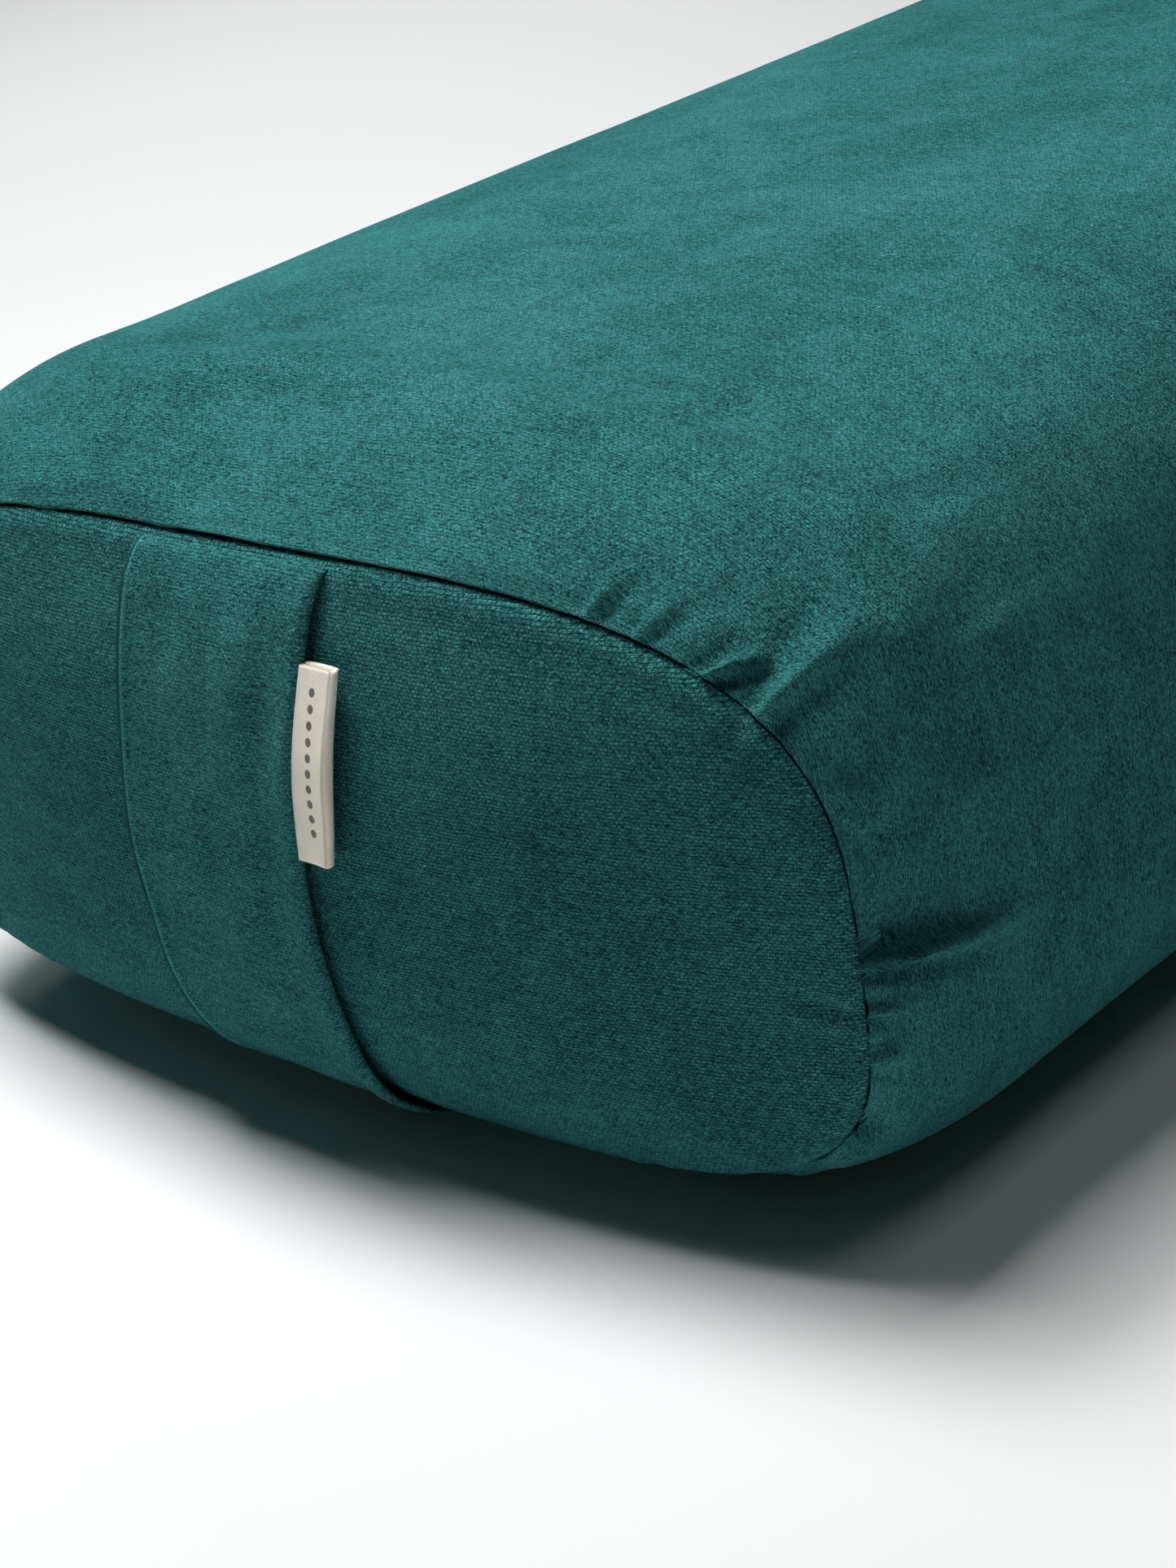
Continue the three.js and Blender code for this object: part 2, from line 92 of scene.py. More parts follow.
def smooth(value, low, high):
    """0 below low, 1 above high, and a smooth step between."""
    t = np.clip((value - low) / (high - low), 0, 1)
    return t * t * (3 - 2 * t)


def bell(value, width):
    return np.exp(-((value / width) ** 2))


def unit(vectors):
    length = np.linalg.norm(vectors, axis=-1, keepdims=True)
    return vectors / np.maximum(length, 1e-12)


def waves(seed, points, wavelength, count=24):
    """Smooth repeatable noise of about unit size: a sum of plane waves in random directions."""
    rng = np.random.default_rng(seed)
    directions = unit(rng.normal(size=(count, 3)))
    lengths = wavelength * rng.uniform(0.7, 1.6, count)
    phases = rng.uniform(0, 2 * math.pi, count)
    turns = points @ (directions / lengths[:, None]).T * 2 * math.pi + phases
    return np.sin(turns).sum(-1) / math.sqrt(count / 2)


def bunched(count, amount):
    """count steps from -1 to 1, closer together towards both ends."""
    u = np.linspace(-1, 1, count + 1)
    return u + amount * np.sin(math.pi * u) / math.pi


def lengths_along(points):
    """How far along it each point of a line lies, for lines that run along a grid's first axis."""
    steps = np.linalg.norm(np.diff(points, axis=0), axis=-1)
    return np.concatenate([np.zeros_like(steps[:1]), np.cumsum(steps, 0)])


def cubic(values, at, axis, ring=False):
    """Catmull-Rom samples of a grid along one axis, at fractional places."""
    size = values.shape[axis]
    start = np.floor(at).astype(int)
    if not ring:
        start = np.clip(start, 0, size - 2)
    f = at - start
    weights = [
        -0.5 * f + f * f - 0.5 * f**3,
        1 - 2.5 * f * f + 1.5 * f**3,
        0.5 * f + 2 * f * f - 1.5 * f**3,
        -0.5 * f * f + 0.5 * f**3,
    ]
    shape = [1] * values.ndim
    shape[axis] = len(at)
    total = 0
    for step, weight in zip((-1, 0, 1, 2), weights):
        index = (start + step) % size if ring else np.clip(start + step, 0, size - 1)
        total = total + np.take(values, index, axis) * weight.reshape(shape)
    return total


def grid_normals(points, ring=False):
    """Outward normals of a grid whose first axis crossed with its second points outwards."""
    if ring:
        down = (np.roll(points, -1, 1) - np.roll(points, 1, 1)) / 2
    else:
        down = np.gradient(points, axis=1)
    return unit(np.cross(np.gradient(points, axis=0), down))


# --- The outer shape ------------------------------------------------------------------------------
# A place round the tube is a number from 0 to 4 that walks round a square, one side each: it starts
# low on the +X side and goes up, over the top, down the -X side and back along the bottom. The same
# square, filled, covers an end panel, so a panel's edge meets the tube's edge point for point.


def square_walk(place):
    """The square's (s, t) at places round it, each from -1 to 1."""
    place = np.mod(place, 4)
    side = np.floor(place).astype(int) % 4
    along = 2 * (place - side) - 1
    one = np.ones_like(along)
    s = np.choose(side, [one, -along, -one, along])
    t = np.choose(side, [along, one, -along, -one])
    return s, t


def to_ring(s, t):
    """How far a ray through the square's (s, t) goes to meet the superellipse."""
    power = np.where(t < 0, BOTTOM_POWER, TOP_POWER)
    return np.maximum(np.abs(s) ** power + np.abs(t) ** power, 1e-9) ** (-1 / power)


def bow_at(x):
    return SEAM_BOW * (1 - (x / SEAM_HALF_WIDTH) ** 2)


def tuck_at(x, t):
    """Share of the full tuck at a place: the seam's bottom run lies back under the end panel."""
    middle = 1 - np.clip(np.abs(x) / SEAM_HALF_WIDTH, 0, 1) ** 3
    return middle * smooth(-t, 0.55, 1)


def roll_at(into):
    """0 on the straight part of the tube and 1 at the seam, on part of a quarter ellipse."""
    return (1 - np.sqrt(1 - (ROLL_TURN * into) ** 2)) / (1 - math.sqrt(1 - ROLL_TURN**2))


def tube_point(place, y, roll=None):
    """The cover's outer shape. roll goes from 0 on the straight part to 1 at an end seam."""
    into = np.clip(1 - (SEAM_Y - np.abs(y)) / ROLL_LENGTH, 0, 1)
    if roll is None:
        roll = roll_at(into)
    s, t = square_walk(place)
    reach = to_ring(s, t)
    half_width = HALF_WIDTH + (SEAM_HALF_WIDTH - HALF_WIDTH) * roll
    up = HEIGHT + (SEAM_TOP - HEIGHT) * roll - MID_HEIGHT
    down = MID_HEIGHT + FLAT_CUT - (SEAM_BOTTOM + FLAT_CUT) * roll
    x = half_width * s * reach
    tuck = tuck_at(x, t * reach) * into**3
    z = MID_HEIGHT + np.where(t < 0, down, up) * t * reach - TUCK_DOWN * tuck
    y = y * (1 + bow_at(x) / SEAM_Y) - np.sign(y) * TUCK_BACK * tuck
    return np.stack(np.broadcast_arrays(x, y, np.maximum(z, 0)), -1)


def dome_point(end, s, t):
    """The end panel's outer shape, over the filled square."""
    radius = np.maximum(np.abs(s), np.abs(t))
    safe = np.where(radius == 0, 1, radius)
    reach = to_ring(s / safe, t / safe)
    x = s * reach * SEAM_HALF_WIDTH
    rise = np.where(t < 0, MID_HEIGHT - SEAM_BOTTOM, SEAM_TOP - MID_HEIGHT)
    tuck = tuck_at(x / safe, t * reach / safe) * radius**6
    fullness = FULLNESS - FULLNESS_DROP * smooth(-t * reach, 0.1, 0.9)
    out = SEAM_Y + bow_at(x) + BULGE * (1 - radius**2) ** fullness - TUCK_BACK * tuck
    return np.stack([x, end * out, MID_HEIGHT + t * reach * rise - TUCK_DOWN * tuck], -1)


# --- Settling the cover by cloth simulation -------------------------------------------------------

SIDE_CELLS = 36  # cloth cells along each side of the square
STRAIGHT_CELLS = 34  # from the middle to where the tube starts to roll over
ROLL_CELLS = 10
EASE = 0.7  # share of the tube's full girth that the cloth keeps right up to the seam
PANEL_EASE = 1.02
HOLD = 0.12  # how firmly the stuffing holds each point of the cloth in place
SIM_FRAMES = 20
RESTING = 0.004  # cloth lower than this lies on the floor
BROAD_LUMP = 1.3  # heights of the filling's lumps, in MM
SMALL_LUMP = 0.45
LUMP_FADE = 0.05  # how far from the floor and from the seams the lumps reach their full height
HALF_CELLS = STRAIGHT_CELLS + ROLL_CELLS


def station_y(station):
    """y at a station, which counts cloth cells from the middle and is negative to the front."""
    size = np.abs(station)
    straight = (SEAM_Y - ROLL_LENGTH) * size / STRAIGHT_CELLS
    turn = np.clip(size - STRAIGHT_CELLS, 0, ROLL_CELLS) / ROLL_CELLS * math.pi / 2
    rolled = SEAM_Y - ROLL_LENGTH * (1 - np.sin(turn))
    return np.sign(station) * np.where(size > STRAIGHT_CELLS, rolled, straight)


class SimGrid:
    """One closed cloth mesh: the tube's grid and a grid over each end, sharing the seam's points."""

    def __init__(self):
        self.rows_y = station_y(np.arange(-HALF_CELLS, HALF_CELLS + 1))
        self.columns = 4 * SIDE_CELLS
        self.places = np.arange(self.columns) / SIDE_CELLS
        self.tube = tube_point(self.places[None, :], self.rows_y[:, None])
        steps = np.linspace(-1, 1, SIDE_CELLS + 1)
        self.square = np.meshgrid(steps, steps, indexing="ij")
        self.domes = {end: dome_point(end, *self.square) for end in (FRONT, REAR)}
        self.panel_index = {end: self.index_panel(end) for end in (FRONT, REAR)}

    def index_panel(self, end):
        """Point numbers over a panel: the tube's at its edge, and its own inside."""
        rows = len(self.rows_y)
        size = SIDE_CELLS + 1
        inner = (SIDE_CELLS - 1) ** 2
        index = np.zeros((size, size), int)
        start = rows * self.columns + (inner if end == REAR else 0)
        index[1:-1, 1:-1] = start + np.arange(inner).reshape(SIDE_CELLS - 1, -1)
        s, t = square_walk(self.places)
        i = np.rint((s + 1) / 2 * SIDE_CELLS).astype(int)
        j = np.rint((t + 1) / 2 * SIDE_CELLS).astype(int)
        index[i, j] = (0 if end == FRONT else rows - 1) * self.columns + np.arange(self.columns)
        return index

    def points(self, tube, panels):
        """Every point of the mesh once: the tube's, then those inside each panel."""
        inside = [panels[end][1:-1, 1:-1].reshape(-1, 3) for end in (FRONT, REAR)]
        return np.concatenate([tube.reshape(-1, 3), *inside])

    def faces(self):
        """The faces of the tube and of both panels."""
        found = [grid_quads(len(self.rows_y), self.columns, ring=True)]
        for end, index in self.panel_index.items():
            quads = [index[:-1, :-1], index[1:, :-1], index[1:, 1:], index[:-1, 1:]]
            order = quads if end == FRONT else quads[::-1]
            found.append(np.stack(order, -1).reshape(-1, 4))
        return np.concatenate(found)

    def cut_shape(self):
        """The size the cloth was cut to: a tube of nearly full girth, and flat ends a bit larger."""
        full = tube_point(self.places[None, :], self.rows_y[:, None], np.zeros((1, 1)))
        cut = self.tube + (full - self.tube) * EASE
        along = lengths_along(self.tube[:, SIDE_CELLS + SIDE_CELLS // 2])
        along -= along[len(along) // 2]
        cut[..., 1] = along[:, None]
        panels = {}
        for end in (FRONT, REAR):
            panel = self.domes[end].copy()
            panel[..., 0] *= PANEL_EASE
            panel[..., 2] = MID_HEIGHT + (panel[..., 2] - MID_HEIGHT) * PANEL_EASE
            panel[..., 1] += end * (along[-1] - SEAM_Y)
            panels[end] = panel
        return self.points(cut, panels)

    def settle(self):
        """How far each point moves when the stuffing presses the cut cloth outwards."""
        start = self.points(self.tube, self.domes)
        start += lumps(start)
        mesh = bpy.data.meshes.new("settling")
        mesh.from_pydata(start.tolist(), [], self.faces().tolist())
        cloth = add_to_scene("settling", mesh)
        cloth.shape_key_add(name="Basis")
        cut = cloth.shape_key_add(name="cut")
        cut.data.foreach_set("co", self.cut_shape().astype(np.float32).ravel())
        self.hold_points(cloth, start[:, 2] < RESTING)
        run_cloth(cloth, cut)
        moved = evaluated_points(cloth) - start
        bpy.data.objects.remove(cloth)
        return moved + lumps(start)

    def hold_points(self, cloth, resting):
        """Pins the two seams and the resting points, and holds the others lightly."""
        hold = np.full(len(resting), HOLD)
        hold[: self.columns] = 1
        last = (len(self.rows_y) - 1) * self.columns
        hold[last : last + self.columns] = 1
        hold[resting] = 1
        group = cloth.vertex_groups.new(name="hold")
        for level in np.unique(hold):
            group.add(np.flatnonzero(hold == level).tolist(), float(level), "REPLACE")


def lumps(points):
    """The uneven filling, which shows as faint hollows and swells."""
    broad = BROAD_LUMP * waves(3, points, 0.16)
    small = SMALL_LUMP * waves(4, points, 0.07)
    from_floor = smooth(points[:, 2], RESTING, LUMP_FADE)
    from_seam = smooth(SEAM_Y - np.abs(points[:, 1]), 0, LUMP_FADE)
    centre = np.array([0, 0, MID_HEIGHT])
    outwards = unit((points - centre) * [1, 0, 1.6])
    return outwards * ((broad + small) * (from_floor * from_seam) * MM)[:, None]


def run_cloth(cloth, cut):
    """Lets the cloth settle from its cut shape, with pressure inside it and no gravity."""
    modifier = cloth.modifiers.new("cloth", "CLOTH")
    settings = modifier.settings
    settings.quality = 4
    settings.mass = 0.15
    settings.tension_stiffness = 15
    settings.compression_stiffness = 15
    settings.shear_stiffness = 5
    settings.bending_stiffness = 0.15
    settings.air_damping = 1
    settings.use_pressure = True
    settings.uniform_pressure_force = 4
    settings.effector_weights.gravity = 0
    settings.vertex_group_mass = "hold"
    settings.rest_shape_key = cut
    modifier.point_cache.frame_start = 1
    modifier.point_cache.frame_end = SIM_FRAMES
    for step in range(1, SIM_FRAMES + 1):
        bpy.context.scene.frame_set(step)


def evaluated_points(obj):
    shown = obj.evaluated_get(bpy.context.evaluated_depsgraph_get())
    flat = np.zeros(len(shown.data.vertices) * 3)
    shown.data.vertices.foreach_get("co", flat)
    return flat.reshape(-1, 3)


def blurred(values, reach, ring):
    """A running average along both axes, wrapping round the second where it is a ring."""
    for axis in (0, 1):
        total = 0
        for step in range(-reach, reach + 1):
            if ring and axis == 1:
                total = total + np.roll(values, step, 1)
            else:
                size = values.shape[axis]
                index = np.clip(np.arange(size) + step, 0, size - 1)
                total = total + np.take(values, index, axis)
        values = total / (2 * reach + 1)
    return values


BROAD_SHARE = 0.25  # how much of the broad swelling is kept
BROAD_CAP = 0.003  # no point moves further than this by swelling, or than the next by folding
FOLD_CAP = 0.0045


def kept_moves(moves, ring):
    """Keeps the folds of a simulated move, and a little of the broad swelling under them."""
    broad = blurred(blurred(moves, 5, ring), 5, ring)
    kept = []
    for part, cap in ((broad * BROAD_SHARE, BROAD_CAP), (moves - broad, FOLD_CAP)):
        size = np.linalg.norm(part, axis=-1, keepdims=True)
        kept.append(part * cap / (cap + size))
    return kept[0] + kept[1]


# --- Building meshes ------------------------------------------------------------------------------


def grid_quads(rows, columns, ring=False):
    """The faces of a grid whose points are numbered row by row."""
    wide = columns if ring else columns - 1
    i, j = np.meshgrid(np.arange(rows - 1), np.arange(wide), indexing="ij")
    k = (j + 1) % columns
    corners = [i * columns + j, i * columns + k, (i + 1) * columns + k, (i + 1) * columns + j]
    return np.stack(corners, -1).reshape(-1, 4)


def capped_faces(rows, columns):
    """The faces of a closed tube of rings: its walls and its two ends."""
    faces = grid_quads(rows, columns, ring=True).tolist()
    faces.append(list(range(columns))[::-1])
    faces.append([(rows - 1) * columns + i for i in range(columns)])
    return faces


def add_to_scene(name, data):
    made = bpy.data.objects.new(name, data)
    bpy.context.scene.collection.objects.link(made)
    return made


def add_object(name, points, faces, material, cloth=None):
    """A smooth mesh object. cloth gives each point's place on the flat cloth, in metres."""
    mesh = bpy.data.meshes.new(name)
    mesh.from_pydata(np.asarray(points).tolist(), [], [list(map(int, face)) for face in faces])
    mesh.materials.append(material)
    mesh.shade_smooth()
    if cloth is not None:
        attribute = mesh.attributes.new("cloth", "FLOAT_VECTOR", "POINT")
        attribute.data.foreach_set("vector", np.asarray(cloth, np.float32).ravel())
    return add_to_scene(name, mesh)


def place_piece(obj, body, slot, *nodes):
    """Says what the piece rides on and the nodes it stands for; slot is not used."""
    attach(obj, body)
    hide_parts(*nodes)


# --- Seams and puckers ----------------------------------------------------------------------------

SEAM_GROOVE = 0.0021  # how deep the thread draws the wrap in
GROOVE_WIDTH = 0.0007
EVEN_PULL = 0.85  # the share of that depth all round, and what the top adds to it
TOP_PULL = 0.12
PANEL_DIP = 0.0009  # how deep the panel's edge dips beside the thread
DIP_WIDTH = 0.0014
SEAM_PUFF = 0.0004  # how far the turned-in edges swell the cloth
PUFF_PLACE = 0.0028  # how far from the seam that swelling is highest
PUFF_WIDTH = 0.0022
ALLOWANCE = 0.004  # how far the cut edges turn in behind the seam
FADE_IN = 0.005  # a pucker opens over this length


def seam_groove(distance, place, girth):
    """The thread draws the wrap in, hardest along the top and unevenly from stitch to stitch."""
    around = np.mod(place, 4)
    top = smooth(around, 0.8, 1.1) * (1 - smooth(around, 1.9, 2.2))
    uneven = waves(31, np.stack([girth, 0 * girth, 0 * girth], -1), 0.012)
    pull = (EVEN_PULL + TOP_PULL * top) * np.clip(1 + 0.3 * uneven, 0.4, 1.5)
    return -SEAM_GROOVE * pull * bell(distance, GROOVE_WIDTH)


def panel_dip(distance):
    return -PANEL_DIP * bell(distance, DIP_WIDTH)


def seam_puff(distance):
    return SEAM_PUFF * bell(distance - PUFF_PLACE, PUFF_WIDTH)


class Pucker:
    """A fold in the cloth that starts at a seam: a valley with a swelling on either side.

    place is where it starts round the seam, run how far back it goes, and drift how far it slants
    round the cover on the way. lean pushes one swelling over the valley, and start is how far from
    the seam it opens."""

    def __init__(self, end, place, run, drift, depth, width, lean=0.0, start=-0.001):
        self.end = end
        self.place = place
        self.run = run
        self.drift = drift
        self.depth = depth
        self.width = width
        self.lean = lean
        self.start = start

    def across(self, girth, back):
        """How far round the cover a place is from the fold's middle line."""
        half_ring = SEAM_RING.length / 2
        offset = girth - SEAM_RING.girth_at(self.place) - self.drift * back / self.run
        return (offset + half_ring) % SEAM_RING.length - half_ring

    def heights(self, girth, back):
        """Height over the cloth, and sideways shift round it, at distances back from the seam."""
        share = back / self.run
        offset = self.across(girth, back)
        wide = self.width * (0.7 + 0.7 * np.clip(share, 0, 1))
        fade = (1 - smooth(share, 0.25, 1)) * smooth(back, self.start, self.start + FADE_IN)
        x = offset / wide
        valley = bell(x, 1)
        swell = 0.5 * (bell(x - 1.7, 1.1) + bell(x + 1.7, 1.1))
        height = self.depth * fade * (swell - valley)
        shift = -self.lean * fade * (bell(x - 1.1, 0.9) + 0.4 * bell(x, 0.8))
        return height, shift


class Ring:
    """The end seam's outline, as a length round it for each place."""

    STEPS = 1600
    BLOCK = 2000  # how many points are compared with the outline at a time

    def __init__(self):
        self.places = np.linspace(0, 4, self.STEPS + 1)
        points = tube_point(self.places, np.full(self.STEPS + 1, SEAM_Y))
        self.points = points[:, [0, 2]]
        self.lengths = lengths_along(self.points)
        self.length = self.lengths[-1]
        self.along = unit(np.gradient(self.points, axis=0))

    def girth_at(self, place):
        return np.interp(np.mod(place, 4), self.places, self.lengths)

    def nearest(self, points):
        """Distance to the outline, and the length round it, of (x, z) points."""
        distance = np.empty(len(points))
        girth = np.empty(len(points))
        for start in range(0, len(points), self.BLOCK):
            done = slice(start, start + self.BLOCK)
            block = points[done]
            found = np.linalg.norm(block[:, None] - self.points[None, ::2], axis=2).argmin(1) * 2
            gap = block - self.points[found]
            forward = (gap * self.along[found]).sum(1)
            across = gap - self.along[found] * forward[:, None]
            distance[done] = np.linalg.norm(across, axis=1)
            girth[done] = self.lengths[found] + forward
        return distance, girth


SEAM_RING = Ring()

# Puckers drawn round the front end: the deep tucks are at its corners and down its +X side.
WRAP_PUCKERS = [
    Pucker(FRONT, 1.163, 0.018, -0.006, 0.0016, 0.0020),
    Pucker(FRONT, 1.105, 0.015, -0.006, 0.0014, 0.0018),
    Pucker(FRONT, 1.010, 0.015, -0.011, 0.0034, 0.0020, 0.0010, -0.002),
    Pucker(FRONT, 0.905, 0.036, -0.004, 0.0034, 0.0030, 0.0010, -0.001),
    Pucker(FRONT, 0.860, 0.075, -0.004, 0.0022, 0.0090, 0.0, 0.004),
    Pucker(FRONT, 0.815, 0.030, -0.006, 0.0014, 0.0032, 0.0, 0.004),
    Pucker(FRONT, 0.700, 0.026, -0.003, 0.0011, 0.0026, 0.0, 0.002),
    Pucker(FRONT, 0.745, 0.015, -0.005, 0.0008, 0.0026),
    Pucker(FRONT, 0.650, 0.012, 0.001, 0.0004, 0.0030),
    Pucker(FRONT, 0.520, 0.052, -0.010, 0.0050, 0.0021, 0.0012, -0.0030),
    Pucker(FRONT, 0.440, 0.017, -0.004, 0.0016, 0.0017, 0.0006, -0.002),
    Pucker(FRONT, 0.390, 0.018, 0.000, 0.0007, 0.0022),
    Pucker(FRONT, 0.336, 0.015, 0.002, 0.0014, 0.0022),
    Pucker(FRONT, 0.192, 0.012, -0.007, 0.0032, 0.0022, 0.0006, -0.003),
    Pucker(FRONT, 0.080, 0.012, 0.003, 0.0010, 0.0030),
    Pucker(FRONT, 3.860, 0.018, -0.004, 0.0012, 0.0036),
    Pucker(FRONT, 2.100, 0.026, 0.004, 0.0024, 0.0030, -0.0010),
    Pucker(FRONT, 2.320, 0.018, -0.003, 0.0012, 0.0028),
    Pucker(FRONT, 2.840, 0.020, -0.003, 0.0018, 0.0030, 0.0008),
]


def loose_puckers(seed, end, count, deepest):
    """Small gathers scattered round a seam, more of them near the corners."""
    rng = np.random.default_rng(seed)
    made = []
    for _ in range(count):
        corner = rng.integers(0, 4) + rng.normal(0, 0.16)
        place = np.mod(np.where(rng.random() < 0.6, corner, rng.uniform(0, 4)), 4)
        size = rng.uniform(0.25, 1)
        run = 0.008 + 0.02 * size
        drift = rng.uniform(-0.3, 0.3) * run
        width = rng.uniform(0.0018, 0.0036)
        made.append(Pucker(end, float(place), run, drift, deepest * size, width))
    return made


WRAP_PUCKERS += loose_puckers(11, FRONT, 22, 0.0004)
WRAP_PUCKERS += loose_puckers(12, REAR, 44, 0.0018)
PANEL_PUCKERS = [
    Pucker(FRONT, 0.430, 0.022, 0.003, 0.0010, 0.0026),
    Pucker(FRONT, 0.930, 0.014, -0.003, 0.0006, 0.0026),
]
PANEL_PUCKERS += loose_puckers(13, FRONT, 22, 0.0004)
PANEL_PUCKERS += loose_puckers(14, REAR, 26, 0.0008)


def puckered(puckers, end, girth, back):
    """The summed height and sideways shift of one end's puckers."""
    height = np.zeros_like(back)
    shift = np.zeros_like(back)
    for pucker in puckers:
        if pucker.end == end:
            more_height, more_shift = pucker.heights(girth, back)
            height += more_height
            shift += more_shift
    return height, shift


# --- The wrap -------------------------------------------------------------------------------------

ZIP_HEIGHT = 0.036
SLIT_GAP = 0.00005  # what is left between the two lips where they are sewn together
WRAP_COLUMNS = 480
COLUMN_CROWDING = 0.35  # how much closer together than even the columns opposite the zip are
STRAIGHT_ROWS = 44
ROLL_ROWS = 44
SLOT_HALF_WIDTH = 0.0055
SLOT_HALF_LENGTH = 0.2525
SLOT_TAPER = 0.013  # the slot narrows over this length, which leaves room for the pull's tip
LIP_RADIUS = 0.0011
SEWN_RADIUS = 0.0006
LIP_STEPS = 6


def zip_place():
    """The place round the tube, low on the -X side, where the zip runs."""
    places = np.linspace(2.5, 3, 2001)
    heights = tube_point(places, np.zeros(2001))[:, 2]
    return float(places[np.abs(heights - ZIP_HEIGHT).argmin()])


def wrap_stations():
    """Stations along the wrap, closer together towards the seams."""
    straight = np.linspace(0, STRAIGHT_CELLS, STRAIGHT_ROWS, endpoint=False)
    rolled = HALF_CELLS - ROLL_CELLS * (np.arange(ROLL_ROWS, -1, -1) / ROLL_ROWS) ** 1.35
    half = np.concatenate([straight, rolled])
    return np.concatenate([-half[:0:-1], half])


class Wrap:
    """The long panel, from the zip slot's lower lip right round to its upper lip."""

    def __init__(self, moves):
        self.stations = wrap_stations()
        self.y = station_y(self.stations)
        self.open = 1 - smooth(np.abs(self.y), SLOT_HALF_LENGTH, SLOT_HALF_LENGTH + SLOT_TAPER)
        self.lip = SEWN_RADIUS + (LIP_RADIUS - SEWN_RADIUS) * self.open
        self.places = self.column_places()
        base = tube_point(self.places, self.y[:, None])
        self.points = base + self.sampled(moves)
        self.points[..., 2] = np.maximum(self.points[..., 2], 0)
        self.add_seams()

    def column_places(self):
        """Places round the tube for each row, from lip to lip and closest together half way."""
        middle = zip_place()
        step = 0.001
        near = tube_point(np.array([middle - step, middle + step]), np.zeros(2))
        scale = np.linalg.norm(near[1] - near[0]) / (2 * step)
        gap = SLOT_HALF_WIDTH * self.open + (SEWN_RADIUS + SLIT_GAP) * (1 - self.open)
        share = np.linspace(0, 1, WRAP_COLUMNS)
        share = share - COLUMN_CROWDING * np.sin(2 * math.pi * (share - 0.5)) / (2 * math.pi)
        from_lip = gap[:, None] / scale
        return middle + from_lip + (4 - 2 * from_lip) * share[None, :]

    def sampled(self, moves):
        """The simulated moves at every point of this grid."""
        rows = cubic(moves, self.stations + HALF_CELLS, 0)
        at = self.places[len(self.stations) // 2] * SIDE_CELLS
        return cubic(rows, at, 1, ring=True)

    def distances(self):
        """How far back from each end seam every point is, along the cloth."""
        from_front = lengths_along(self.points)
        return {FRONT: from_front, REAR: from_front[-1] - from_front}

    def add_seams(self):
        """Draws the end seams in, and adds the puckers that start at them."""
        back = self.distances()
        normals = -grid_normals(self.points)
        girth = SEAM_RING.girth_at(self.places)
        height = np.zeros(girth.shape)
        shift = np.zeros(girth.shape)
        for end in (FRONT, REAR):
            more_height, more_shift = puckered(WRAP_PUCKERS, end, girth, back[end])
            height += more_height + seam_puff(back[end])
            shift += more_shift
            self.points[..., 1] += end * seam_groove(back[end], self.places, girth)
        clear = smooth(self.points[..., 2], 0, RESTING) + bell(np.minimum(*back.values()), 0.006)
        height *= np.clip(clear, 0, 1)
        around = unit(np.gradient(self.points, axis=1))
        self.points += normals * height[..., None] + around * shift[..., None]
        self.points[..., 2] = np.maximum(self.points[..., 2], 0)

    def lip_columns(self, edge, inner):
        """The hem at a lip: it turns in, under itself and a little way back."""
        normals = -grid_normals(self.points)[:, edge]
        lip = self.points[:, edge]
        outwards = unit(lip - self.points[:, inner])
        radius = self.lip[:, None]
        columns = []
        for angle in np.linspace(0, math.pi, LIP_STEPS + 1)[1:]:
            turned = outwards * math.sin(angle) + normals * (math.cos(angle) - 1)
            columns.append(lip + turned * radius)
        columns.append(columns[-1] - outwards * ALLOWANCE)
        return np.stack(columns, 1)

    def build(self, material):
        """The wrap's mesh, with its hems at the zip and its seam allowances turned in."""
        lower = self.lip_columns(0, 1)[:, ::-1]
        upper = self.lip_columns(-1, -2)
        points = np.concatenate([lower, self.points, upper], 1)
        flat = self.cloth_places(points)
        inwards = np.zeros((1, points.shape[1], 3))
        inwards[..., 1] = ALLOWANCE
        points = np.concatenate([points[:1] + inwards, points, points[-1:] - inwards])
        flat = np.concatenate([flat[:1], flat, flat[-1:]])
        rows, columns = points.shape[:2]
        faces = grid_quads(rows, columns)
        return add_object(
            "cover_wrap_visual", points.reshape(-1, 3), faces, material, flat.reshape(-1, 3)
        )

    def cloth_places(self, points):
        """Places on the flat cloth: round the cover, and along it from its middle."""
        middle = points.shape[0] // 2
        along = lengths_along(points)
        flat = np.zeros(points.shape)
        flat[..., 0] = lengths_along(points[middle])
        flat[..., 1] = along - along[middle]
        return flat


# --- The end panels -------------------------------------------------------------------------------

PANEL_COLUMNS = 220
PANEL_ROWS = 150


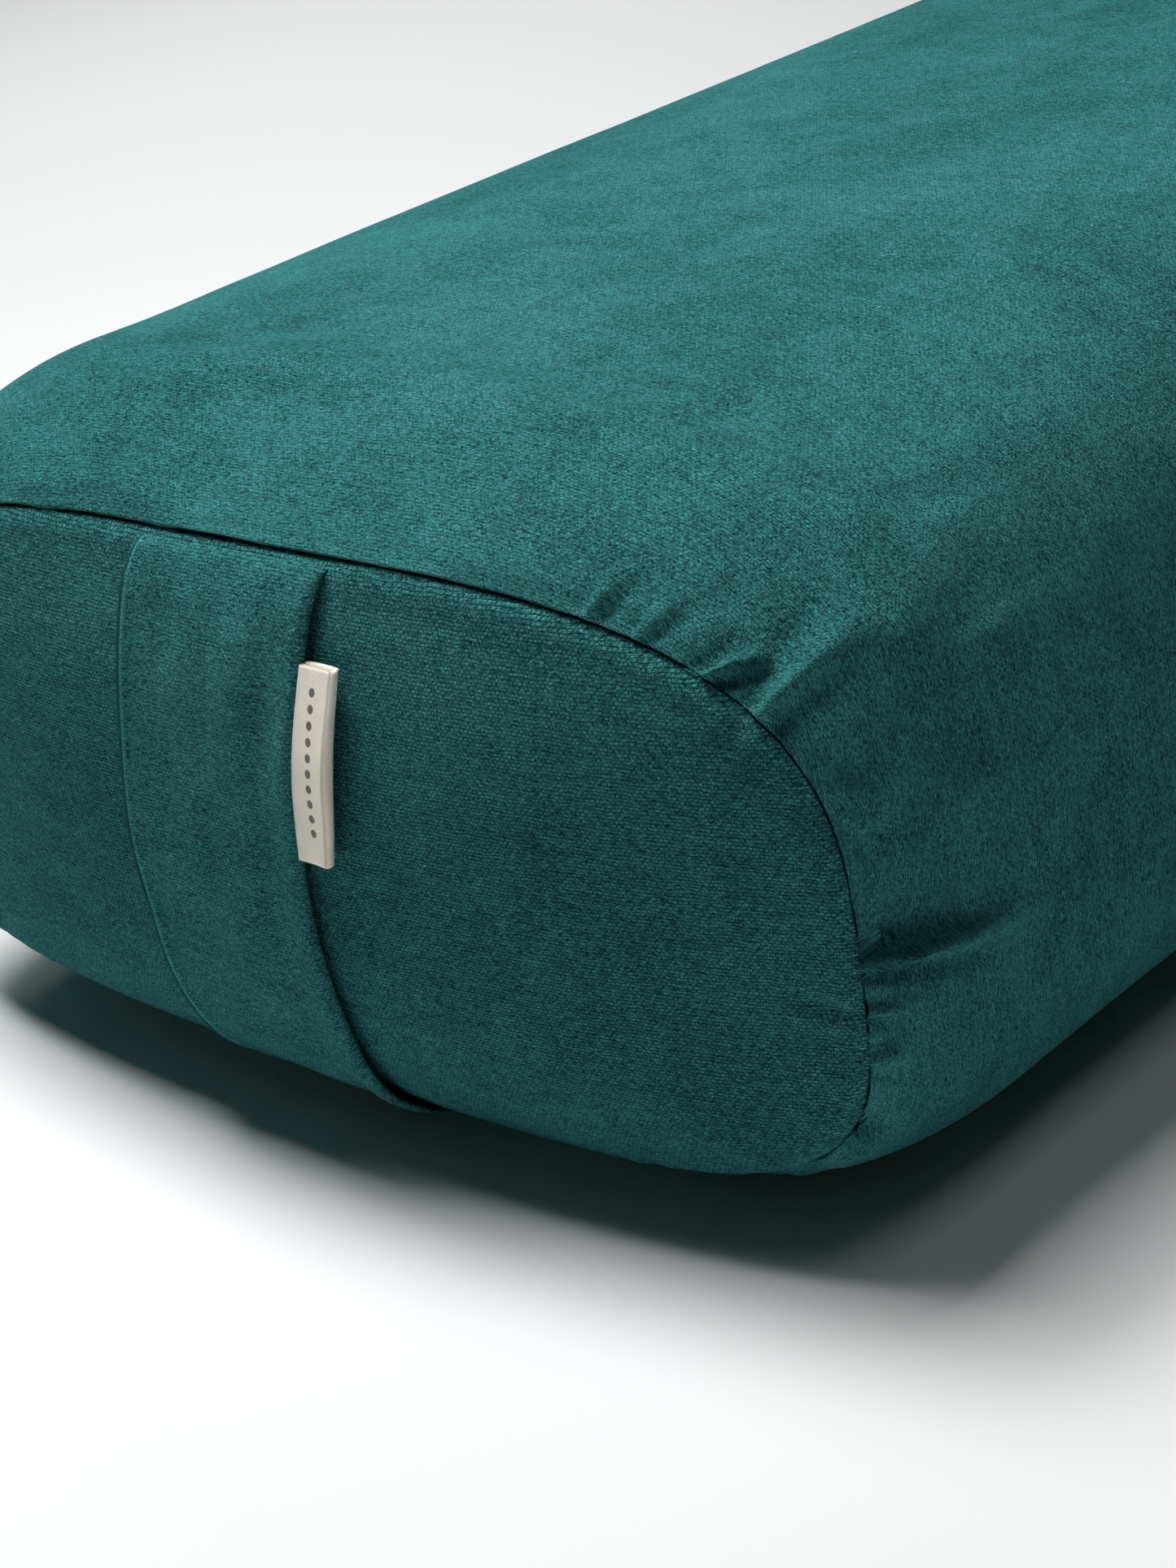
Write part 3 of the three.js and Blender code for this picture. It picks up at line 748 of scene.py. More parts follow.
class Panel:
    """The panel that closes one end."""

    def __init__(self, end, moves):
        self.end = end
        self.moves = moves

    def surface(self, s, t):
        """The finished panel at places (s, t) over the filled square, as a grid."""
        points = dome_point(self.end, s, t)
        at_s = (s[:, 0] + 1) / 2 * SIDE_CELLS
        at_t = (t[0, :] + 1) / 2 * SIDE_CELLS
        points = points + cubic(cubic(self.moves, at_s, 0), at_t, 1)
        back, girth = SEAM_RING.nearest(points[..., [0, 2]].reshape(-1, 2))
        back = back.reshape(s.shape)
        height, _ = puckered(PANEL_PUCKERS, self.end, girth.reshape(s.shape), back)
        height += seam_puff(back)
        normals = grid_normals(points) * -self.end
        points = points + normals * height[..., None]
        points[..., 1] += self.end * panel_dip(back)
        return points

    def line_up(self, x, t):
        """(y, z) up the panel at one x, for rising places t."""
        s = np.full(t.shape, x / SEAM_HALF_WIDTH)
        line = dome_point(self.end, s, t)
        i = np.rint((s + 1) / 2 * SIDE_CELLS).astype(int)
        moved = self.moves[i[0]]
        at_t = (t + 1) / 2 * SIDE_CELLS
        return (line + cubic(moved, at_t, 0))[:, 1:]

    def build(self, name, material):
        """The panel's mesh, with its seam allowance turned in."""
        s, t = np.meshgrid(bunched(PANEL_COLUMNS, 0.72), bunched(PANEL_ROWS, 0.45), indexing="ij")
        points = self.surface(s, t)
        columns, rows = s.shape
        edge = self.edge_loop(columns, rows)
        flat_points = points.reshape(-1, 3)
        skirt = flat_points[edge] - [0, self.end * ALLOWANCE, 0]
        faces = grid_quads(columns, rows)
        if self.end == REAR:
            faces = faces[:, ::-1]
        faces = list(faces) + self.skirt_faces(edge, len(flat_points))
        points = np.concatenate([flat_points, skirt])
        flat = points[:, [0, 2, 1]] * [self.end, 1, 0] + [0.3, 0.2, 0.05 * self.end]
        return add_object(name, points, faces, material, flat)

    def edge_loop(self, columns, rows):
        """Point numbers once round the panel's edge."""
        number = np.arange(columns * rows).reshape(columns, rows)
        sides = [number[:-1, 0], number[-1, :-1], number[:0:-1, -1], number[0, :0:-1]]
        return np.concatenate(sides)

    def skirt_faces(self, edge, start):
        """Faces from the edge to the seam allowance behind it, whose points start at a number."""
        faces = []
        count = len(edge)
        for i in range(count):
            j = (i + 1) % count
            quad = [edge[i], start + i, start + j, edge[j]]
            faces.append(quad if self.end == FRONT else quad[::-1])
        return faces


# --- The handles ----------------------------------------------------------------------------------

STRAP_CENTRE_X = (STRAP_LOW.x + STRAP_HIGH.x) / 2
STRAP_HALF_WIDTH = (STRAP_HIGH.x - STRAP_LOW.x) / 2
STRAP_WAIST = 0.05  # how much narrower it is half way up
STRAP_THICKNESS = 0.0030
THIN_SIDE = 0.22  # how much thinner its left edge is than its middle, and its right edge thicker
STRAP_SLACK = 0.0012  # how far it stands off the panel along most of its length
STRAP_SINK = 0.0022  # how far its ends sink into the seam
STRAP_GAPE = 0.0012  # how far its right edge stands off low down
STRAP_LOOSE_AFTER = 0.012  # how far from a sewn end it is as loose as it gets
STRAP_LEAN = 0.0012  # how far its top end lies to +X of its bottom end
STRAP_ROWS = 150
FACE_STEPS = 44
EDGE_STEPS = 8
EDGE_START = 0.93  # the share of the half width where the rounded edges start
EDGE_ROUND = 0.07
BACK_SKIP = 3  # its back has a point for every third one of its face
BACK_STEPS = len(range(0, FACE_STEPS, BACK_SKIP))
STRAP_SPLIT = STRAP_ROWS // 2  # each handle is two pieces, so that both of its ends stay sewn down


class Strap:
    """A flat cloth tube that lies up the end panel, with both ends caught in the seam."""

    def __init__(self, end, panel):
        self.end = end
        self.path, self.facing = self.centre_path(panel)
        self.climb = lengths_along(self.path)
        self.section = self.section_points()
        self.points = self.grid()
        self.normals = grid_normals(self.points, ring=True) * -end

    def centre_path(self, panel):
        """(y, z) up the middle of the strap's back, and the way it faces, clear of the panel."""
        t = bunched(STRAP_ROWS, 0.45)
        spread = np.linspace(-0.8, 0.8, 5) * STRAP_HALF_WIDTH
        lines = np.stack([panel.line_up(STRAP_CENTRE_X + x, t) for x in spread])
        path = lines.mean(0)
        path[:, 0] = self.end * np.abs(lines[..., 0]).max(0)
        for _ in range(6):
            path[1:-1] = (path[:-2] + path[1:-1] * 2 + path[2:]) / 4
        forward = unit(np.gradient(path, axis=0))
        facing = np.stack([self.end * forward[:, 1], -self.end * forward[:, 0]], 1)
        return path, facing

    def section_points(self):
        """The section, as places across (-1 to 1) and up its thickness (0 to 1), anticlockwise."""
        face = np.linspace(-EDGE_START, EDGE_START, FACE_STEPS)
        turn = np.linspace(math.pi / 2, -math.pi / 2, EDGE_STEPS + 2)[1:-1]
        right = np.stack([EDGE_START + EDGE_ROUND * np.cos(turn), 0.5 + 0.5 * np.sin(turn)], 1)
        left = right[::-1] * [-1, 1]
        front = np.stack([face, np.ones(FACE_STEPS)], 1)
        back = np.stack([face[::-BACK_SKIP], np.zeros(BACK_STEPS)], 1)
        return np.concatenate([front, right, back, left])

    def relief(self, across, up):
        """How much the face stands out: its two edges, the allowances inside it and faint waves."""
        x = across * STRAP_HALF_WIDTH
        to_right = STRAP_HALF_WIDTH - x
        to_left = STRAP_HALF_WIDTH + x
        ridge = 0.50 * bell(to_right - 0.0026, 0.0022) - 0.35 * bell(to_right - 0.0085, 0.004)
        folded = 0.80 * bell(to_left - 0.0013, 0.0010) - 0.40 * bell(to_left - 0.0046, 0.0020)
        allowance = 0.45 * (smooth(x, 0.0005, 0.0035) - smooth(x, 0.0145, 0.0175))
        ripple = 0.28 * waves(21 + self.end, np.stack([x * 1.6, up * 0.7, 0 * x], -1), 0.022)
        return (ridge + folded + allowance + ripple) * MM

    def grid(self):
        """The strap's points, in rows up it. It is a little narrower at the middle of its length."""
        across, thick = self.section.T
        climb = self.climb[:, None]
        share = climb / self.climb[-1]
        places = np.broadcast_to(across[None, :], (len(self.climb), len(across)))
        waist = 1 - STRAP_WAIST * (1 - (2 * share - 1) ** 2)
        x = STRAP_CENTRE_X - self.end * places * STRAP_HALF_WIDTH * waist
        x = x + STRAP_LEAN * smooth(share, 0.45, 0.9)
        out = self.standing_off(places, climb, thick)
        side = self.path[:, None] + self.facing[:, None] * out[..., None]
        return np.concatenate([x[..., None], side], -1)

    def standing_off(self, places, climb, thick):
        """How far the points stand off the path: sunk in at both ends, snug low down and slack above.

        Its thicker right edge gapes a little low down."""
        thickness = STRAP_THICKNESS * (1 - THIN_SIDE + THIN_SIDE * places)
        gape = STRAP_GAPE * smooth(places, 0.1, 1) * bell(climb - 0.022, 0.014)
        from_end = np.minimum(climb, self.climb[-1] - climb)
        loose = smooth(from_end, 0, STRAP_LOOSE_AFTER)
        snug = bell(climb - 0.012, 0.022)
        slack = STRAP_SLACK * loose * (1 - 0.8 * snug) - STRAP_SINK * bell(from_end, 0.0018)
        pinch = (0.45 + 0.55 * smooth(from_end, 0, 0.006)) * (1 - 0.55 * snug)
        relief = self.relief(places, np.broadcast_to(climb, places.shape))
        return slack + gape + thickness * pinch * thick + relief * thick * loose

    def cloth_places(self):
        """Places on the flat cloth: round the tube from its left fold, and up it."""
        steps = np.linalg.norm(np.diff(self.points, axis=1, append=self.points[:, :1]), axis=2)
        around = np.concatenate([[0], np.cumsum(steps.mean(0))[:-1]])
        flat = np.zeros(self.points.shape)
        flat[..., 0] = around[None, :]
        flat[..., 1] = self.climb[:, None]
        flat[..., 2] = 0.3 + 0.05 * self.end
        return flat

    def lining(self):
        """The interlining: a thin strip along the middle of the cloth tube, as a closed grid."""
        step = np.arange(1, BACK_STEPS - 1)
        front = self.points[:, FACE_STEPS - 1 - BACK_SKIP * step]
        back = self.points[:, FACE_STEPS + EDGE_STEPS + step]
        outer = front + (back - front) * 0.35
        inner = front + (back - front) * 0.65
        return np.concatenate([outer, inner[:, ::-1]], 1)[:, ::-1]

    def halves(self, node, points, material, flat, normals=None):
        """A lower and an upper piece, which meet half way up; each has one end sewn into the seam."""
        for half, rows in (("lower", slice(0, STRAP_SPLIT + 1)), ("upper", slice(STRAP_SPLIT, None))):
            part = points[rows]
            faces = grid_quads(part.shape[0], part.shape[1], ring=True)
            if self.end == FRONT:
                faces = faces[:, ::-1]
            cloth = flat[rows].reshape(-1, 3)
            name = f"{node}_visual_{half}"
            piece = add_object(name, part.reshape(-1, 3), faces, material, cloth)
            if normals is not None:
                facing = normals[rows].reshape(-1, 3)
                piece.data.normals_split_custom_set_from_vertices(facing.tolist())
            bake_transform(piece)
            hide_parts(node)

    def build(self, word, cloth, interlining):
        """The strap's two halves, and the two halves of its interlining."""
        flat = self.cloth_places()
        self.halves(f"handle_{word}_cloth", self.points, cloth, flat, self.normals)
        lining = self.lining()
        self.halves(f"handle_{word}_lining", lining, interlining, lining)


# --- The tag --------------------------------------------------------------------------------------

TAG_ROWS = 60
TAG_PLY = 0.0008
TAG_FACE_STEPS = 14
TAG_FOLD_STEPS = 7
TAG_FOLD_START = 0.9  # the share of the tag's reach where its fold starts
TAG_SEWN_IN = 0.0028  # how far its cut ends go in behind the strap's edge
TAG_SHORT_BELOW = 0.0034  # what it gives up of its node's height, below and above
TAG_SHORT_ABOVE = 0.0002
TAG_SHORT_ACROSS = 0.0009
TAG_TURN = 0.0014  # how far its top leans to +X
TAG_HALF_GAP = 0.00095  # from between its two faces to the middle of each one's leather
TAG_PINCH = 0.0002  # how much that changes up the tag
TAG_LEAN = 0.0012  # how far its fold leans out from the panel


def tag_section():
    """A hairpin: out along the front, round the fold and back behind. Across 0 to 1, side -1 to 1."""
    flat = np.linspace(0, TAG_FOLD_START, TAG_FACE_STEPS)
    turn = np.linspace(-math.pi / 2, math.pi / 2, TAG_FOLD_STEPS + 2)[1:-1]
    round_share = 1 - TAG_FOLD_START
    fold = np.stack([TAG_FOLD_START + round_share * np.cos(turn), np.sin(turn)], 1)
    front = np.stack([flat, -np.ones(TAG_FACE_STEPS)], 1)
    back = np.stack([flat[::-1], np.ones(TAG_FACE_STEPS)], 1)
    return np.concatenate([front, fold, back])


def tag_ply(strap, ply):
    """One face of the leather, in rows up the tag: ply is 0.5 for its outside and -0.5 within."""
    out, side = tag_section().T
    up = np.linspace(0, 1, TAG_ROWS + 1)[:, None]
    low = TAG_LOW.z + TAG_SHORT_BELOW
    height = TAG_HIGH.z - TAG_SHORT_ABOVE - low
    reach = TAG_HIGH.x - TAG_LOW.x - TAG_SHORT_ACROSS
    flare = 0.0010 * up + 0.0040 * up * (1 - up)
    folded = ply * TAG_PLY * 0.8 * (out > TAG_FOLD_START)
    x = TAG_LOW.x - TAG_SEWN_IN + out * reach + folded + TAG_TURN * up + flare * out
    depth = side * (TAG_HALF_GAP - TAG_PINCH * np.cos(up * 2 * math.pi) + ply * TAG_PLY)
    lean = -TAG_LEAN * out**2 + 0.0003 * np.sin(up * 7.0 + 0.6) * out
    y = strap_line(strap, low + height * up) + depth + lean
    z = low + height * up + 0.0003 * out
    return np.stack(np.broadcast_arrays(x, y, z), -1)


def build_tag(strap, material):
    """The folded tag: its cut ends are caught in the strap's edge and its fold stands clear."""
    outside = tag_ply(strap, 0.5)
    inside = tag_ply(strap, -0.5)
    ring = np.concatenate([outside, inside[:, ::-1]], 1)
    rows, size = ring.shape[:2]
    faces = grid_quads(rows, size, ring=True).tolist()
    last = (rows - 1) * size
    for i in range(size // 2 - 1):
        near = [i, i + 1, size - 2 - i, size - 1 - i]
        faces.append(near[::-1])
        faces.append([last + n for n in near])
    flat = ring[..., [0, 2, 1]]
    flat[..., 2] = 0
    flat[:, :TAG_FACE_STEPS, 2] = 1  # the front face is the printed one
    tag = add_object("tag_folded", ring.reshape(-1, 3), faces, material, flat.reshape(-1, 3))
    place_piece(tag, "label", "tag_leather", "label_tag")


def strap_line(strap, heights):
    """y of the middle of the strap's thickness, along its +X edge."""
    edge = FACE_STEPS + EDGE_STEPS // 2
    line = strap.points[:, edge]
    return np.interp(heights, line[:, 2], line[:, 1])


# --- The zip --------------------------------------------------------------------------------------

CHAIN_DEPTH = 0.0026
COIL_PITCH = 0.0012
COIL_CENTRE = 0.0017  # from the middle of the zip to the middle of a loop
COIL_REACH = 0.00125
COIL_HALF_HEIGHT = 0.00045
COIL_SHORT = 0.001  # how much shorter the coil is than its node
COIL_TURN_STEPS = 11
WIRE_RADIUS = 0.00021
WIRE_SIDES = 5
STITCH_ROW = 0.0052  # from each lip to its row of stitching
STITCH_PITCH = 0.0031
STITCH_HALF_LENGTH = 0.00122
STITCH_HALF_WIDTH = 0.00028
STITCH_HALF_HEIGHT = 0.0002
STITCH_DIP = 0.0003  # how far its two ends go down into the cloth
STITCH_LIFT = 0.00012
STITCH_RINGS = 7
STITCH_SIDES = 6
SEARCHED_COLUMNS = 20  # of the wrap's, from each lip: the row of stitching lies among them
SLIDER_Y = 0.236
SLIDER_BOTTOM = -0.0056  # heights over the cover's skin
SLIDER_TOP = -0.0008
PLATE_THICKNESS = 0.0010
POST_OVERLAP = 0.0001  # how far the post runs into each plate


class ZipFrame:
    """The cover's skin along the zip: a runs up the side, y along the zip and h out of the cover."""

    def __init__(self):
        middle = zip_place()
        near = tube_point(np.array([middle + 0.002, middle, middle - 0.002]), np.zeros(3))
        self.origin = near[1]
        self.up = unit(near[2] - near[0])
        self.along = np.array([0.0, 1.0, 0.0])
        self.out = np.cross(self.up, self.along)

    def points(self, a, y, h):
        """Points in metres from places in this frame."""
        a, y, h = np.broadcast_arrays(a, y, h)
        local = a[..., None] * self.up + y[..., None] * self.along + h[..., None] * self.out
        return self.origin + local


def wire(path, radius, sides):
    """A thin closed tube along a path that mostly runs across Y."""
    tangent = unit(np.gradient(path, axis=0))
    along = np.array([0.0, 1.0, 0.0])
    first = unit(along - tangent * (tangent @ along)[:, None])
    second = np.cross(tangent, first)
    angle = np.arange(sides) / sides * 2 * math.pi
    spread = np.cos(angle)[:, None] * first[:, None] + np.sin(angle)[:, None] * second[:, None]
    points = (path[:, None] + spread * radius).reshape(-1, 3)
    return points, capped_faces(len(path), sides)


def build_chain(word, side, zip_frame, material):
    """One half of the coil: a long flattened spring whose loops reach the middle of the zip."""
    length = CHAIN_HIGH.y - CHAIN_LOW.y - COIL_SHORT
    turns = int(length / COIL_PITCH)
    phase = np.arange(turns * COIL_TURN_STEPS + 1) / COIL_TURN_STEPS
    angle = phase * 2 * math.pi
    a = side * (COIL_CENTRE - COIL_REACH * np.cos(angle))
    h = -CHAIN_DEPTH + COIL_HALF_HEIGHT * np.sin(angle)
    offset = 0.25 * COIL_PITCH * side  # each half's loops lie between the other's
    y = -length / 2 + phase * COIL_PITCH + offset
    points, faces = wire(zip_frame.points(a, y, h), WIRE_RADIUS, WIRE_SIDES)
    chain = add_object(f"zip_coil_{word}", points, faces, material)
    place_piece(chain, "bolster", "zip_coil", f"zip_chain_{word}")


def rounded_node(name, node, body, width, material, segments=2):
    """Stands a copy of a small metal node in its place, with its edges rounded off."""
    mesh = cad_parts[node].data.copy()
    mesh.name = name
    mesh.materials.clear()
    mesh.materials.append(material)
    made = add_to_scene(name, mesh)
    weld = made.modifiers.new("weld", "WELD")
    weld.merge_threshold = 0.00001
    bevel = made.modifiers.new("bevel", "BEVEL")
    bevel.width = width
    bevel.segments = segments
    bevel.limit_method = "ANGLE"
    bevel.angle_limit = math.radians(35)
    mesh.shade_smooth()
    place_piece(made, body, "zip_metal", node)


def slab(zip_frame, outline, low, high, bevel):
    """An outline in (a, y), as a plate between two heights with rounded-off rims."""
    outline = np.array(outline)
    centre = outline.mean(0)
    inset = outline - unit(outline - centre) * bevel
    rings = [(inset, low), (outline, low + bevel), (outline, high - bevel), (inset, high)]
    points = [zip_frame.points(ring[:, 0], ring[:, 1], height) for ring, height in rings]
    return np.concatenate(points), capped_faces(len(rings), len(outline))


def slider_outline(half_width, tail_width, half_length):
    """A slider plate seen from above: broad shoulders and a narrower rounded tail."""
    right = [(tail_width * 0.5, -half_length), (tail_width * 0.86, -half_length * 0.92)]
    right += [(tail_width, -half_length * 0.7), (tail_width * 1.02, -half_length * 0.1)]
    right += [(half_width * 0.97, half_length * 0.3), (half_width, half_length * 0.6)]
    right += [(half_width * 0.9, half_length * 0.86), (half_width * 0.55, half_length)]
    left = [(-a, y) for a, y in reversed(right)]
    return [(a, y + SLIDER_Y) for a, y in right + left]


def build_slider(zip_frame, material):
    """The slider's plates and post, its crown and pull, and the stops at the zip's ends."""
    plate = slider_outline(half_width=0.0040, tail_width=0.0031, half_length=0.0045)
    post = slider_outline(half_width=0.00025, tail_width=0.00025, half_length=0.0043)
    low, high = SLIDER_BOTTOM + PLATE_THICKNESS, SLIDER_TOP - PLATE_THICKNESS
    parts = [
        slab(zip_frame, plate, SLIDER_BOTTOM, low, bevel=0.0003),
        slab(zip_frame, plate, high, SLIDER_TOP, bevel=0.0003),
        slab(zip_frame, post, low - POST_OVERLAP, high + POST_OVERLAP, bevel=0.00005),
    ]
    points, faces = join_parts(parts)
    slider = add_object("zip_slider_visual", points, faces, material)
    place_piece(slider, "zip_slider", "zip_metal", "zip_slider_body")
    rounded_node("zip_crown_visual", "zip_slider_crown", "zip_slider", 0.00025, material)
    rounded_node("zip_pull_visual", "zip_pull", "zip_pull", 0.00022, material)
    for word in ("top_upper", "top_lower", "bottom"):
        node = f"zip_stop_{word}"
        rounded_node(f"{node}_visual", node, "bolster", 0.0003, material, segments=3)


def join_parts(parts):
    """One mesh's points and faces from several."""
    points = []
    faces = []
    for part_points, part_faces in parts:
        start = sum(len(done) for done in points)
        faces += [[start + i for i in face] for face in part_faces]
        points.append(part_points)
    return np.concatenate(points), faces


def stitch_shape():
    """One stitch lying along y: a short thread that dips into the cloth at both ends."""
    path = np.linspace(-1, 1, STITCH_RINGS)[:, None]
    angle = np.arange(STITCH_SIDES) / STITCH_SIDES * 2 * math.pi
    girth = np.sqrt(np.maximum(0, 1 - path**4)) * 0.85 + 0.15
    across = girth * np.cos(angle) * STITCH_HALF_WIDTH
    height = girth * np.sin(angle) * STITCH_HALF_HEIGHT - STITCH_DIP * path**2
    along = np.broadcast_to(path * STITCH_HALF_LENGTH, across.shape)
    points = np.stack([across, along, height], -1).reshape(-1, 3)
    return points, capped_faces(STITCH_RINGS, STITCH_SIDES)


def build_stitching(wrap, material):
    """A row of stitching along each side of the zip, through the cover and the tape."""
    template, template_faces = stitch_shape()
    normals = -grid_normals(wrap.points)
    parts = []
    places = np.arange(-SLOT_HALF_LENGTH, SLOT_HALF_LENGTH, STITCH_PITCH)
    from_lip = np.arange(SEARCHED_COLUMNS)
    for columns in (from_lip, WRAP_COLUMNS - 1 - from_lip):
        middle = wrap.points[len(wrap.y) // 2, columns]
        column = np.interp(STITCH_ROW, lengths_along(middle), columns)
        line = cubic(wrap.points, np.array([column]), 1)[:, 0]
        facing = cubic(normals, np.array([column]), 1)[:, 0]
        for y in places:
            centre = np.array([np.interp(y, line[:, 1], line[:, axis]) for axis in range(3)])
            out = unit(np.array([np.interp(y, line[:, 1], facing[:, axis]) for axis in range(3)]))
            basis = np.stack([np.cross([0, 1, 0], out), [0, 1, 0], out])
            parts.append((centre + out * STITCH_LIFT + template @ basis, template_faces))
    points, faces = join_parts(parts)
    stitches = add_object("zip_stitching", points, faces, material)
    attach(stitches, "bolster")


# --- Materials ------------------------------------------------------------------------------------


class Shader:
    """A material's node tree, with short ways to add nodes before its Principled shader."""

    def __init__(self, name, **sockets):
        self.material = bpy.data.materials.new(name)
        self.material.use_nodes = True
        self.tree = self.material.node_tree
        self.surface = self.tree.nodes["Principled BSDF"]
        self.set(**sockets)

    def set(self, **sockets):
        """Sets the surface's own sockets, whose names have _ for a space."""
        for socket, value in sockets.items():
            self.surface.inputs[socket.replace("_", " ")].default_value = value

    def add(self, kind, sockets, output=0, **settings):
        """Adds a node; a socket's value is a number, a colour or another node's output."""
        node = self.tree.nodes.new("ShaderNode" + kind)
        for setting, value in settings.items():
            setattr(node, setting, value)
        for socket, value in sockets.items():
            if isinstance(value, bpy.types.NodeSocket):
                self.tree.links.new(value, node.inputs[socket])
            else:
                node.inputs[socket].default_value = value
        return node.outputs[output]

    def cloth_place(self):
        return self.add("Attribute", {}, "Vector", attribute_name="cloth")

    def object_place(self):
        return self.add("TexCoord", {}, "Object")

    def noise(self, place, scale, detail=2.0, roughness=0.5):
        sockets = {"Vector": place, "Scale": scale, "Detail": detail, "Roughness": roughness}
        return self.add("TexNoise", sockets, "Fac")

    def parts(self, vector):
        return self.add("SeparateXYZ", {0: vector}).node.outputs

    def stretch(self, place, x, y, z=1.0):
        return self.add("VectorMath", {0: place, 1: (x, y, z)}, operation="MULTIPLY")

    def math(self, operation, first, second=0.0):
        return self.add("Math", {0: first, 1: second}, operation=operation)

    def ramp(self, value, low, high, to_low=0.0, to_high=1.0):
        sockets = {"Value": value, "From Min": low, "From Max": high}
        sockets |= {"To Min": to_low, "To Max": to_high}
        return self.add("MapRange", sockets, interpolation_type="SMOOTHSTEP")

    def blend(self, share, first, second):
        """The first colour where share is 0, turning to the second where it is 1."""
        node = self.tree.nodes.new("ShaderNodeMix")
        node.data_type = "RGBA"
        for index, value in ((0, share), (6, first), (7, second)):
            if isinstance(value, bpy.types.NodeSocket):
                self.tree.links.new(value, node.inputs[index])
            else:
                node.inputs[index].default_value = value
        return node.outputs[2]

    def bump(self, height, distance, strength=1.0, before=None):
        sockets = {"Height": height, "Distance": distance, "Strength": strength}
        if before is not None:
            sockets["Normal"] = before
        return self.add("Bump", sockets)

    def finish(self, **outputs):
        """Links outputs to the surface's sockets and gives the material."""
        for socket, value in outputs.items():
            self.tree.links.new(value, self.surface.inputs[socket.replace("_", " ")])
        return self.material


def rgb(red, green, blue):
    return (red, green, blue, 1.0)


def plain_yarns(shade, place):
    """A plain weave: how much each place is a gap between yarns, and each yarn's own shade."""
    sockets = {"Vector": place, "Scale": 1000.0, "Brick Width": 1.1, "Row Height": 0.72}
    sockets |= {"Mortar Size": 0.17, "Mortar Smooth": 1.0, "Bias": 0.0}
    sockets |= {"Color1": rgb(0.0, 0.0, 0.0), "Color2": rgb(1.0, 1.0, 1.0)}
    return shade.add("TexBrick", sockets, "Fac"), shade.add("TexBrick", sockets, "Color")


def wavering(shade, flat):
    """Places on the cloth, shifted a little so that the yarns don't run quite straight."""
    waver = shade.add("TexNoise", {"Vector": flat, "Scale": 210.0, "Detail": 3.0}, "Color")
    waver = shade.add("VectorMath", {0: waver, 1: (0.5, 0.5, 0.5)}, operation="SUBTRACT")
    shift = shade.stretch(waver, 0.0015, 0.0009, 0.0)
    return shade.add("VectorMath", {0: flat, 1: shift}, operation="ADD")


def pale_hairs(shade, flat, colour, pale, nap):
    """Fine pale fibres, combed two ways, over a colour."""
    for angle in (0.55, -0.5):
        turn = {"Vector": flat, "Axis": (0.0, 0.0, 1.0), "Angle": angle}
        combed = shade.stretch(shade.add("VectorRotate", turn), 1.0, 5.0)
        hairs = shade.ramp(shade.noise(combed, 450.0, 2.0, 0.5), 0.60, 0.72)
        colour = shade.blend(shade.math("MULTIPLY", hairs, 0.42 * nap), colour, pale)
    return colour


def brushed_cotton(name, dark, light, nap, weave, painted_highlight_width=0.0):
    """Heavy brushed cotton: a heathered plain weave under a cloudy nap of short combed fibres.

    The last argument is the width of a paler line painted along the cloth's folded edge: a painted
    highlight where that fold catches the light."""
    shade = Shader(name, Roughness=0.95, Sheen_Weight=0.10, Sheen_Roughness=0.5)
    shade.set(Sheen_Tint=rgb(0.20, 0.80, 0.80), Specular_IOR_Level=0.05)
    flat = shade.cloth_place()
    place = wavering(shade, flat)
    gaps, yarn = plain_yarns(shade, place)
    clouds = shade.noise(shade.stretch(flat, 1.0, 0.7), 17.0, 4.0, 0.62)
    patches = shade.noise(flat, 75.0, 4.0, 0.65)
    streaks = shade.noise(shade.stretch(flat, 1.0, 6.0), 75.0, 3.0, 0.6)
    fleece = shade.noise(shade.stretch(place, 1.0, 2.6), 600.0, 3.0, 0.7)
    fibres = shade.noise(place, 1500.0, 2.0, 0.6)
    layers = [
        (0.26 * nap, clouds, 0.30, 0.70),
        (0.22 * nap, patches, 0.30, 0.70),
        (0.16, streaks, 0.34, 0.66),
        (0.56, fleece, 0.36, 0.64),
        (0.42, fibres, 0.36, 0.64),
    ]
    tone = -0.31
    for share, pattern, low, high in layers:
        tone = shade.math("ADD", tone, shade.math("MULTIPLY", shade.ramp(pattern, low, high), share))
    colour = shade.blend(tone, dark, light)
    colour = shade.blend(shade.math("MULTIPLY", yarn, 0.28), colour, light)
    colour = shade.blend(shade.math("MULTIPLY", gaps, weave), colour, dark)
    pale = rgb(*(min(1.0, channel * 1.5 + 0.01) for channel in light[:3]))
    colour = pale_hairs(shade, flat, colour, pale, nap)
    # Painted highlight: a paler line along the cloth's folded edge, standing in for the light that the
    # fold catches.
    if painted_highlight_width:
        across = shade.parts(flat)[0]
        colour = shade.blend(shade.ramp(across, 0.0, painted_highlight_width, 0.5, 0.0), colour, pale)
    rise = shade.bump(shade.noise(flat, 240.0, 4.0, 0.6), 0.0020, 0.9)
    rise = shade.bump(fleece, 0.0018, 1.0, rise)
    rise = shade.bump(fibres, 0.0010, 0.9, rise)
    rise = shade.bump(shade.math("SUBTRACT", 1.0, gaps), 0.0004, weave, rise)
    return shade.finish(Base_Color=colour, Normal=rise)


DOT_PITCH = 0.0031
DOT_RADIUS = 0.00080
DOT_INSET = 0.0030  # from the low edge of the tag's node to the middle of the column of dots
DOT_COLUMN_RAISE = 0.0025  # how far the column's middle lies above the tag's
DOT_COLUMN_HALF = 0.0155


